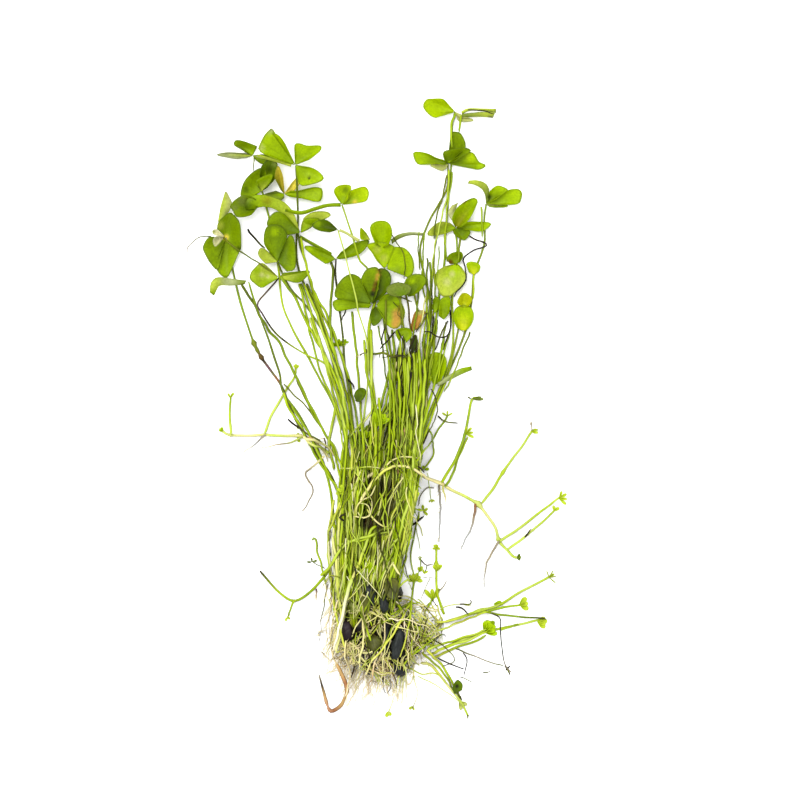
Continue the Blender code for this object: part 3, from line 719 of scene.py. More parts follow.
def add_leaflet(shape, hub, kind, words, rise, lean, outline, stains=(), detail=1.0, seed=0.0):
    """A leaflet from its foot at the hub. Its outline runs from one side of the foot, round the
    tip, to the other. A fan spreads from the foot, and a band runs between its two long edges."""
    steps_across = max(4, round(LEAFLET_ACROSS * detail))
    steps_outward = max(3, round(LEAFLET_OUTWARD * detail))
    hub = np.array(hub)
    rise, lean = rise * MM, lean * MM
    if kind == "fan":
        rim = stops_on(outline, steps_across + 1)
    else:
        outline = listed(outline)
        half = len(outline) // 2
        left = stops_on(outline[:half], steps_outward + 1)
        right = stops_on(outline[half:][::-1], steps_outward + 1)
    low_tone, high_tone, mark = leaf_tones(words)
    made = bmesh.ops.create_grid(shape, x_segments=steps_across, y_segments=steps_outward, size=0.5,
                                 calc_uvs=True)
    layer = shape.verts.layers.float_color["pigment"]
    places, shares = [], []
    for vertex in made["verts"]:
        s, t = vertex.co.x + 0.5, vertex.co.y + 0.5
        column, ring = round(s * steps_across), round(t * steps_outward)
        if kind == "fan":
            out = 0.05 + 0.95 * t
            bulge = 1 + 0.05 * math.sin(math.pi * t) * abs(2 * s - 1) ** 4
            place = hub[:2] + (rim[column] - hub[:2]) * out * bulge
            cup = -CUP * math.sin(math.pi * s) * math.sin(math.pi * min(1, t * 1.05))
        else:
            place = left[ring] + (right[ring] - left[ring]) * s
            cup = BAND_CUP * math.sin(math.pi * s)
        ripple = noise.noise((place[0] * RIPPLE_SCALE, place[1] * RIPPLE_SCALE, seed)) * RIPPLE * t
        height = hub[2] + rise * t ** 1.2 + lean * (s - 0.5) * t + cup * min(1, detail) + ripple
        vertex.co = (*place, min(TOP_LEVEL, max(LOWEST, height)))
        places.append(place)
        shares.append(t if mark == ">" else s)
    shares = np.clip((np.array(shares) - 0.2) / 0.6, 0, 1)[:, None]
    colours = low_tone * (1 - shares) + high_tone * shares
    colours = stained(np.array(places), colours, stains, LEAF_TONES)
    for vertex, colour in zip(made["verts"], colours):
        vertex[layer] = (*colour, 1)


def finish_blades(name, shape, skin, slot, *nodes):
    """Hand open leaflets to the frame and give them their thickness."""
    blade = finish_piece(name, shape, skin, slot, *nodes).modifiers.new("blade", "SOLIDIFY")
    blade.thickness, blade.offset = BLADE, 0


# name; slot; hub; stains, and then a row for each leaflet:
# kind; tones; rise and lean in mm; outline; a hub of its own and its lift in mm
# The light band of crest_left stands for a pale highlight strip: its tone is a painted highlight.
LEAVES = """
crest_right; lime_leaf; 455,112; 490,117,1.5,black
fan; bright; 2; 0.3; 449,107 446,102 442,99 432,99 426,100 423,107 429,115 435,118 441,116 446,112
band; light; 1.6; 1.4; 462,114 470,110.8 484,111.4 496,113 496,109 483,108.8 468,108.6 461,112
band; sage>light; 1.0; 1.4; 461,117 473,117 484,117 493,118 495,113 484,112 473,113 462,114
fan; pale; 0.4; 0; 458,121 463,122 472,121.5 473,119.5 464,118 459,118

small_left; green_leaf; 252.6,155.6
fan; mid>green; 1.5; 0; 257.4,146.4 244.4,141.5 235.7,140.4 234,145.3 240,147 245.5,152.4
fan; light>grey; 0.8; 0.5; 246,153.5 240,153 226,152.4 216,155 228,157.6 236,158.8 246,157.8
fan; green; 0.5; 0; 262,154.4 269.4,155.6 277,159.4 270,162.5 261.8,163.8 256,160

domed; dark_leaf; 262,191; 269.4,169,4,deep 265,163,3,dark 246,190,3,dark 275,164,3,sage
fan; mid>green; 1.2; 0; 250,199 241,197 242,187 246,179 253,172 261,168 266,170 267,180
fan; green>dark; 2.8; 0.6; 260,174 262,166 268,160 276,161 278,168 277,176 272,183 266,189
fan; light>mid; 2.2; 0.2; 258,187 257,181 261,178 268,175 273,175 270,183 264,189; 262,192,1.2

yellow_edged; yellow_green_leaf; 284.5,194
fan; straw; 1; 0; 290,187 292,183 298.6,177 299.7,184 294,191
fan; olive|yellow; 3; 0.8; 281,190 277.5,183 275,177 278,166 282.4,174.6 284,185
fan; lime; 1; 0; 291,191 300,191 311,188 321,188 323,194 321,201 316,202 305,199 290,197
fan; mid>sage; 0.5; 0; 276,191 264,194.7 265,199 272.6,201.7 279,201.7 284,198

crest_left; lime_leaf; 295.5,165.5; 271,130,3.5,grey 309.5,178.6,1.5,black 262,149,2.5,pale
fan; mid>lime; 2.8; 0; 280,161 260,152 261,143 266,134 273,128 273,134 278,135 284,142 288,150
    292,159
band; light; 0.5; 2; 291,167 277,162.6 264,159.2 256,157 257,155 265,156.4 279,160.2 292,164.6
fan; mid>lime; 2; 0.4; 295,156 295,145 301,144 307,146 320,146 322,149 319,153 310,160
fan; mid>lime; 1; 0; 303,167 311,168 319,172 324,178 321,182 307,186 300,185 297,175

upper_right; green_leaf; 448,164; 480,165,3,lime 471,158,5,bright
fan; mid>green; 1.5; 0.4; 449,150 450,140 451,133 456,132 461,134 465,142 465,149 459,153
fan; dark>green; 2.4; 0.6; 445,162 443,153 450,150 464,148 471,151 463,156 456,161
fan; green>mid; 1.5; 0; 456,158 462,156 470,152 475,155 479,162 486,165 484,168 478,170 473,168
    460,166
fan; green>lime; 1.5; 0.4; 443,160 436,158 428,154 420,152 413,153 416,163 422,165 432,163 443,165
fan; pale; 0.5; 0; 441,164.6 430,165.4 436,169 442,171 446,169

right; lime_leaf; 486,204; 489,197,3,deep
band; sage>light; 2; 0.3; 486,203 485,195 481.6,189 475.6,185.4 467.6,183.6 468.6,181 476,180.4
    484,182.6 488.4,188 489.4,199
fan; green>lime; 1.2; 0; 488.5,197 489.5,192 495,186.5 500,185.8 508,190.5 496,197
fan; mid>lime; 1.5; 0; 495,200 503,194 509,190 518,189 522,193 521,200 518,204 506,205 496,204
fan; pale>mid; 0.5; 0.2; 496,204.6 506.4,204.4 507,207 496,207.6 489,206.6

far_left; green_leaf; 226,239; 213,232,3,pale 220,226,4,light 226,237.5,3,yellow 240,249,3,deep
band; light|pale; 4; 0.6; 218,222 219.6,213 221,206 225.4,192 227.4,192.6 232,203 230,210 225,217
fan; green; 3; 0; 217,232 219,222 229,213 234,215 239,221 241,230 241,250 236,250
fan; green; 2; 0.6; 214,237 208,238 203,247 205,254 211,264 218,270 221,257
fan; green>mid; 1; 0; 219,254 217,262 217,270 223,277 228,277 233,267 236,260 240,251
fan; snow; 3; 0.2; 221,233 216.6,229.6 213,231 213.6,234 218,236.6; 225,237,1.6
fan; snow>milk; 2.4; 0.2; 221,238 216,237 213.4,241 215,246.6 218,245 221,241.6; 224,237,1.4

two_toned; olive_leaf; 456,228; 464,202,2,brown 469,199.6,2.4,dark 473,206,5,mid
fan; olive>lime; 3; 0.4; 453,223 452,219 454,213 458,207 466,201 474,198 478,201 476,206 472,215
    467,222 461,227
fan; mid>light; 1; 0; 450,223 440,222 431,228 427,235 434,236 444,234 452,231
fan; mid>lime; 1; 0.3; 462,223.6 467,222 477.6,221.8 491,223 487,229 480,231.7 468,230
fan; dark>green; 0.5; 0; 452.7,230 455,235 463.5,240.6 469,236 470,231 462,229
band; milk>pale; 1.4; 0.4; 451.6,220 448,213 452,205.4 458,203 455,212 456,219

round; pale_leaf; 457,264; 450,262.5,3,brown 447,282,4,pale 452,274,3,pale
fan; lime>light; 1; 0; 446,266 440,269 436,273 434,279 437,287 440,294 444,297 451,296 457,291
    463,286 467,279 465,273 461,267
fan; green; 1.5; 0.3; 450,264 447,259 450,254 456,252 461,252 463,256 460,262

arched; olive_leaf; 298.5,232; 248,206,7,dark 242,201,5,sage 235,208,3,sage 267,200.6,5,olive
fan; dark>green; 2.2; 0.6; 256,207 253,214 246,217 236.7,217 232.4,210 230.2,206.6 233.6,202
    241,196.6 249,196 255,199; 260,205,1.6
band; light>mid; 3; 0.8; 295,234 289,223 281,213.6 272.6,208.4 261.8,207 254,209.6 246,210 245,204
    249,198 255,195.4 263,195.2 272.6,197.4 284.6,202.6 294,214 299.4,231

inner_dark; dark_leaf; 301,233
fan; dark>green; 1; 0.4; 284,236 268,227 269,218 276,212 284,214 291,221
fan; mid>light; 1.3; 0.4; 302,224 305,217 314,212 327,212 331,216 322,220 309,228
fan; dark>mid; 0.8; 0; 301.4,225 306,219 319,218.6 316,224 308,230

middle_left; green_leaf; 278,262; 275,232,4,lime
fan; green|dark; 2; 0; 270,253 264,242 267,227 279,225 286,231 287,239 281,252
fan; dark>green; 1; 0.6; 284,247 289,236 293,236.4 295.4,246 295.4,268 287,272
fan; light; 0.5; 0; 266,264 260,258 258,253 261,248 266,250 272,256

inner_green; green_leaf; 335.6,259; 309,250,3,lime
fan; green>mid; 1; 0; 328,252 311,246 304,247 311,254 321,261 326,264 330,262
band; green; 0.8; 2; 331,256 315,247 299,237.6 300.6,235.4 316,244 332,253
fan; green>mid; 1.2; 0.3; 341,252 347,248 354,243 369,240 366,248 360,254 352,257 342,259

twin_lobe; lime_leaf; 342.5,205; 355,202.6,2.5,yellow 346,190,4,green
fan; mid>bright; 1.2; 0; 338,200 334,192 337,187 344,185 351,186 351,192 350,197 346,202
fan; mid>bright; 1.4; 0; 348,200 350,192 356,189 365,187 369,192 368,199 365,202 354,204
band; green>mid; 0.3; 1.5; 341,207 328,207.4 315,211 301,215 285,211.4 286,208.8 301,211.4 315,207.4
    328,204 341,203.4

bright_middle; lime_leaf; 385,269; 384,258,4,light 377,250,4,light 400,252,2.5,mid
fan; lime; 3; 0; 376,245 372,236 370,229 372,224 379,221 387,222 391,227 392,235 389,244 386,247;
    382,248,1.2
fan; light>bright; 2; 0.4; 366,233 360.6,228 360.6,238.8 366,240; 370,240,1.2
fan; bright|lime; 2.2; 0; 377,261 371,251 367,245 379,242 389,244 396,248
fan; lime|mid; 2.4; 0; 393.6,247 404,248 411,255 414,264 413,273 409,278 405,276 394,272;
    386.4,268.6,0.4
band; sage>grey; 1.2; 1.6; 392,244 399,239 410,235.6 425,236 424.6,233 410,232.4 399,234.6 391,240;
    392,242,1.6

dark_middle; dark_leaf; 372,304; 379,271,2,brown 378,275,2,orange 377,279,2,orange
    375.4,284,2.4,brown 374,289,2.4,brown 372.6,294,3,black 340,306,4,mid
fan; dark>green; 1.5; 0; 350,300 336,298 335,291 338,284 344,277 352,274 360,278 367,290
fan; deep>dark; 1.0; 0; 375,297 377,282 378,270 383,268.4 389,272 391.4,279 389,288 382,298
fan; dark>green; 2.0; 0.3; 365,290 361,281 365,271 371,267.4 377,267.4 380,273 379,283 376,296
fan; green>mid; 0.5; 0.3; 352,300 338,299.4 332.7,302 334,308.6 338,311.4 346,310 357,308 369,308

inner_right; dark_leaf; 338,230; 318,224,3,mid
fan; deep>dark; 1; 0.3; 334,226 327,220.6 319,220.6 311.7,225.6 319,230.8 330,232.6
band; pale; 0.3; 0.6; 339,231.5 346,234.4 352,238.4 359,243 360,240 353,236 347,232.4 340,229.2

patched; olive_leaf; 376,306; 400,308,2.6,brown 397,314,5,orange 397,320,5,orange 395,325,4,orange
    402,316,2,brown 390,298,4,dark
fan; green>mid; 1; 0; 380,300 385,295 394,294 400,300 405,312 402,323 396,329 388,326 383,316
fan; deep>dark; 0.5; 0; 380,311 383,316 379,323 373,326 370,317 372,310

dead; dead_leaf; 411,332; 420,312,3,pale 411,329,1.4,brown
fan; tan>tan; 1; 0; 411,326 413,317 416,311 425,311 422,319 417,329

low_left; green_leaf; 279,278; 262,275,2.5,pale 268,276.6,2,pale 257,270,4,mid
fan; mid|light; 1.2; 0; 270,283 262,288 255,284 250,279 251,273 255,268 262,263 271,270
fan; light>green; 0.8; 0; 284,273 296,272 310,271 305,279 298,283 288,281

pale_left; pale_leaf; 249,282; 230,282,8,grey 213,294,4,mid 212,286,4,light
band; sage>light; 1; 0.4; 245,284.6 232,286 220.6,286 217,291 214.4,296 210.6,293 210.6,287
    212.4,281.6 218,277.6 230,278.8 247,281

yellow_cluster; yellow_green_leaf; 461,317; 463,306,1.6,olive
fan; gold>lime; 0.8; 0; 457,328 454,321 453.4,313 457,307 464,305 471,307.6 473.8,315 472,323
    468,329; 463,331.6,0.2
fan; gold; 1.6; 0.3; 459,305 457,302 460,296 463,293 468,294 472,299 469,306; 464,308,0.8

lower_right; green_leaf; 434,386; 430,358,3,deep 428,366,3,deep 440,360,5,lime
fan; mid>lime; 1.2; 0; 431,380 431,371 426,361 432,353 440,353 446,358 446,369 441,380
band; grey>mid; 0.5; 1.6; 438,386 452,379 462,374 472,370 471.4,366 460,368.6 450,374.6 437,382
"""
leaf_skin = leaf_finish("clover leaf", 0.5, 0.5)
for number, block in enumerate(LEAVES.split("\n\n")):
    (name, slot, hub, *stains), *leaflets = rows(block)
    hub = listed(hub)[0]
    corners = np.array([vertex.co for vertex in frame["nodes"]["leaf_" + name].data.vertices])
    near = distances(corners, *hub)
    base = corners[near < near.min() + 0.0001][:, 2].mean()
    shape = new_shape()
    for count, (kind, words, rise, lean, outline, *own) in enumerate(leaflets):
        column, row, lift = listed(*own)[0] if own else (*hub, 0.0)
        foot = (*on_table(column, row), base + lift * MM)
        add_leaflet(shape, foot, kind, words, rise, lean, outline, listed(*stains), 1.0,
                    number + count * 0.37)
    finish_blades(name + "_leaf", shape, leaf_skin, slot, "leaf_" + name)


# Creeping stems and young shoots: pale runners with a joint where each side shoot leaves, and
# bright green shoots. Each shoot ends in a young leaf of a few small folded leaflets. They grow
# from the crown and lie loose on the sheet.
BEAD_SPACING = 0.004            # between the points that the beaded stem's solid bends at
CREEPER_STEP, CREEPER_SWAY, CREEPER_SIDES = 0.0009, (0.0002, 200), 9
DRAPE_STEP, STIFFNESS = 0.0008, 0.003   # of a limp stem: between its rings, bridged at a gap
RAY_HEIGHT = 0.05
# name; slot; radius; tones; photograph points; swellings
CREEPERS = """
runner_left; creeping_stem; 0.00045; light cream light cream light; 328,453 306,437 285,436 265,435
    231,435 220,429; 328,453,0.0008,0.003 300,436,0.00062,0.0016 265,435,0.0007,0.001
    231,434,0.0007,0.001 221,429,0.0009,0.001
runner_low_left; young_shoot; 0.00045; lime lime green lime dark; 345,545 334,560 325,575 312,590
    294,601 278,591 260,571; 293,602,0.0007,0.001 314,588,0.0006,0.001
beaded_stem; young_shoot; 0.0004; lime; 444,614 440,602 437,591 436,565 436,545;
    436,546,0.0008,0.0013 436,565,0.0009,0.0016
low_sprig; pale_shoot; 0.0004; pale yellow pale light lime; 421,663 432,666 446,683 457,697 463,705
    468,716; 468,716,0.0005,0.001
runner_right; creeping_stem; 0.00052; pale cream cream pale cream light pale light light; 352,500
    362,482 375,472 387,468 400,466 415,472 427,478 441,483 448,488 475,502 482,509 495,527 499,541
    507,550 514,557 520,557; 441,483,0.0009,0.0014 478,504,0.0011,0.0022 499,540,0.0009,0.0014
    520,557,0.0009,0.0012
shoot_left_upright; young_shoot; 0.0004; light lime green; 231,434 230,416 231,396
shoot_left_slanted; young_shoot; 0.0004; light light lime; 265,433 271,416 282,397 288,387 295,376
    296,364
shoot_right_tall; young_shoot; 0.00045; lime green lime; 442,482 458,454 466,429 472,400 483,399;
    463,436,0.0006,0.002
shoot_right_long; young_shoot; 0.00042; light lime light lime; 482,503 494,487 503,472 520,449
    532,431 538,430; 503,472,0.0007,0.0018
shoot_far_right; young_shoot; 0.00042; light light lime light; 500,541 518,529 535,516 557,499
    565,496
shoot_far_right_low; pale_shoot; 0.0004; light light lime; 508,549 523,538 540,524 555,510
shoot_low_right_long; young_shoot; 0.00045; yellow light lime light lime; 445,622 474,613 500,604
    522,591 549,577 554,574; 480,611,0.0008,0.005
shoot_low_right_fan; young_shoot; 0.0004; green lime; 488,611 503,607 519,605 526,603
shoot_low_right_thick; young_shoot; 0.00045; yellow light light lime light lime; 444,647 471,637
    487,631 502,628 521,624 539,620 545,622; 466,639,0.0011,0.006
"""
for number, (name, slot, radius, tones, points, *swellings) in enumerate(rows(CREEPERS)):
    spacing = BEAD_SPACING if name == "beaded_stem" else KNOT_SPACING
    route = line_in_solid(name, points, CREEPER_STEP, spacing)
    route = wandered(route, *CREEPER_SWAY, number + 90)
    radii = widened(route, radius * (1.1 - 0.3 * shares_of(route)), listed(*swellings))
    shape = new_shape()
    add_stem(shape, route, radii, mixed_along(route, tones), CREEPER_SIDES)
    finish_piece("live_" + name, shape, stalk_skin, slot, name)


def surface_under(places):
    """Height of what lies under each place: the sheet, a stalk or a leaf."""
    bpy.context.view_layer.update()
    depsgraph = bpy.context.evaluated_depsgraph_get()
    heights = []
    for x, y in places:
        hit, place, *_ = scene.ray_cast(depsgraph, (x, y, RAY_HEIGHT), (0, 0, -1))
        heights.append(max(0.0, place.z) if hit else 0.0)
    return np.array(heights)


def draped(points, radius, stiffness=STIFFNESS):
    """A limp stem through photograph points, laid over whatever is under it."""
    route = stops_on(points, DRAPE_STEP)
    under = surface_under(route)
    reach = max(1, round(stiffness / DRAPE_STEP))
    raised = np.array([under[max(0, k - reach):k + reach + 1].max() for k in range(len(under))])
    height = np.maximum(eased(raised, reach), under) + radius
    return np.column_stack([route, np.minimum(height, TOP_LEVEL - radius)])


def turned(column, row, heading, along, aside=0):
    """The photograph point that is so many pixels along and aside of a heading in degrees."""
    angle = math.radians(heading)
    return (column + along * math.cos(angle) + aside * math.sin(angle),
            row - along * math.sin(angle) + aside * math.cos(angle))


# a bud leaflet's outline: shares of its length and of its half width
BUD_OUTLINE = ((0.3, -0.5), (0.7, -1), (0.98, -0.5), (1.04, 0.4), (0.72, 1), (0.3, 0.5))


def add_bud(shape, column, row, heading, size, spread, count, words, wide=0.28):
    """A young leaf: small cupped leaflets that spread from the tip of a shoot."""
    place = on_table(column, row)
    foot = (*place, surface_under([place])[0])
    for number in range(count):
        angle = heading + spread * (number / max(1, count - 1) - 0.5)
        reach = size * (1 - 0.12 * (number % 2))
        outline = [turned(column, row, angle, reach * along, reach * wide * aside)
                   for along, aside in BUD_OUTLINE]
        add_leaflet(shape, foot, "fan", words, size * 0.07, 0.2 * (-1) ** number, outline,
                    (), 0.32, column + number)


# column, row, heading in degrees, size in pixels, spread in degrees, leaflets, tones, half width
BUDS = """
230.6,398,90,6,60,2,glow,0.2 296,369,85,5,70,4,fresh>glow,0.18 223,431,140,4,60,3,fresh
297,438,10,5,130,3,glow 471,399,5,12,12,2,sage,0.1 471,399,150,4,10,1,moss,0.16
466,434,32,8.5,110,4,fresh>glow,0.15 531,431.5,5,7,30,2,fresh>glow,0.2
559,498.5,15,9,110,4,fresh>glow,0.16 554,511,65,6,60,2,glow 517,557,0,4,90,3,dark
549,577.4,35,9,150,4,light,0.05 519,604.4,10,10,70,3,fresh>glow 537,621,-8,10,60,4,fresh>glow
493,604.4,12,10,20,2,fresh,0.16 484,632,40,13,90,6,mid>fresh,0.2 488,628,75,9,50,2,mid
436,548,90,4,200,4,glow 437,571,90,8,70,4,fresh>glow,0.2 433,600,96,13,66,3,fresh>glow,0.15
420,572,90,6,40,2,glow,0.24 420,558,90,2.2,300,5,light 424,574,70,5,60,2,glow,0.2
415,580,90,7.5,190,6,glow,0.24 413,583,84,9,60,3,fresh>glow,0.2 423,511,60,6,200,4,glow,0.2
411,509,170,5,60,2,glow,0.2 431.4,499,-80,4,90,3,light,0.24 447.4,416,90,6,120,3,glow,0.14
339,346,90,7,140,5,mid,0.2 344,343,60,5,90,3,mid,0.2 344,504,90,14,60,6,fresh>glow,0.15
365,440,90,10,60,5,lime>fresh,0.2 409,503,80,15,60,7,glow,0.16 340,612,100,8,90,3,fresh
287,617,-30,4,160,3,glow 312,562,100,5,160,3,sage,0.16 459,701,-50,9,50,3,light>pale,0.2
388,711,-80,6,50,2,glow,0.3 413,706,-110,5,60,2,light,0.3 300,429,100,4,90,2,fresh
341,596,90,9,70,3,fresh,0.18 424,470,60,5,90,2,fresh 377,426,66,15,70,7,fresh,0.13
344,492,150,8,80,3,glow,0.2 367,353,150,4,90,2,moss,0.12 394,540,66,20,40,5,lime>fresh,0.13
368,575,70,14,50,4,fresh,0.14 352,612,60,12,70,4,light>pale,0.12 401,545,60,14,40,3,fresh,0.12
"""
buds = new_shape()
for entry in listed(BUDS):
    add_bud(buds, *entry)
finish_blades("young_leaves", buds, leaf_finish("young leaf", 0.15, 0.15), "young_shoot")


# Loose stalks and side leaves: thinner stalks that lie over the bunch, some kinked and dead, and
# small leaves between the large ones. Wilted leaves, slate and moss green, lie low between the
# stalk feet. All of them hold only by lying on what is under them.
FRESH_TONES = {"pale", "cream", "yellow"}       # a stalk with one of these lies clear of the rot
LOOSE_SWAY, CROSSING_SWAY = (0.0004, 260), (0.0005, 240)
CROSSING_COUNT, CROSSING_STIFFNESS = 90, 0.0016
CROSSING_TONES = ["lime light", "pale yellow", "light lime", "moss lime", "yellow", "green light",
                  "milk pale", "dark moss", "light", "lime"]
# foot; tones; rise and lean in mm; outline; stains
WILTED_LEAVES = """
397,600; slate>moss; 0.6; 0.4; 388,597 384,588 387,580 393,577 398,580 399,590
371,602; slate; 0.5; 0.2; 366,598 365,589 369,582 374,586 375,597
366,614; moss; 0.5; 0; 360,608 358,600 362,596 369,598 371,607
"""
SIDE_LEAVES = """
403,335; green>mid; 1; 0; 399,341 396,335 396,330 403,328 410,329 412,336 406,343
407,297; dark>green; 1.4; 0.6; 404,292 404,284 409,276 418,274 425,276 426,282 421,290 413,296;
    412,281,3,lime
404,296; dark>sage; 1; 0.4; 396,297 388,294 386,288.6 393,283.6 402,283 411,287 409,294
474,275; gold>lime; 1; 0.2; 469,272.6 466.2,264.4 470,261.6 476.4,262.6 480.4,266 479,271.6
434.6,313.6; mid>green; 1.2; 0; 432.6,309 432.6,303.5 435,296.8 440,299 439.4,308
444,320; green>mid; 1.2; 0.2; 438.4,316 439,306 441,298.6 449.4,296.6 450.4,305 448.6,314
356,402; deep>dark; 0.8; 0; 354,396 356,391 361,387.6 366,390 364.6,397 360,402
454,694; deep>dark; 0.8; 0.2; 452,688 455,682 458,679.6 462.4,684 461.8,690; 457,686,2,black
412,354; black>deep; 0.5; 0.3; 410,347 412,338 416,334.6 416,342 414,352
"""
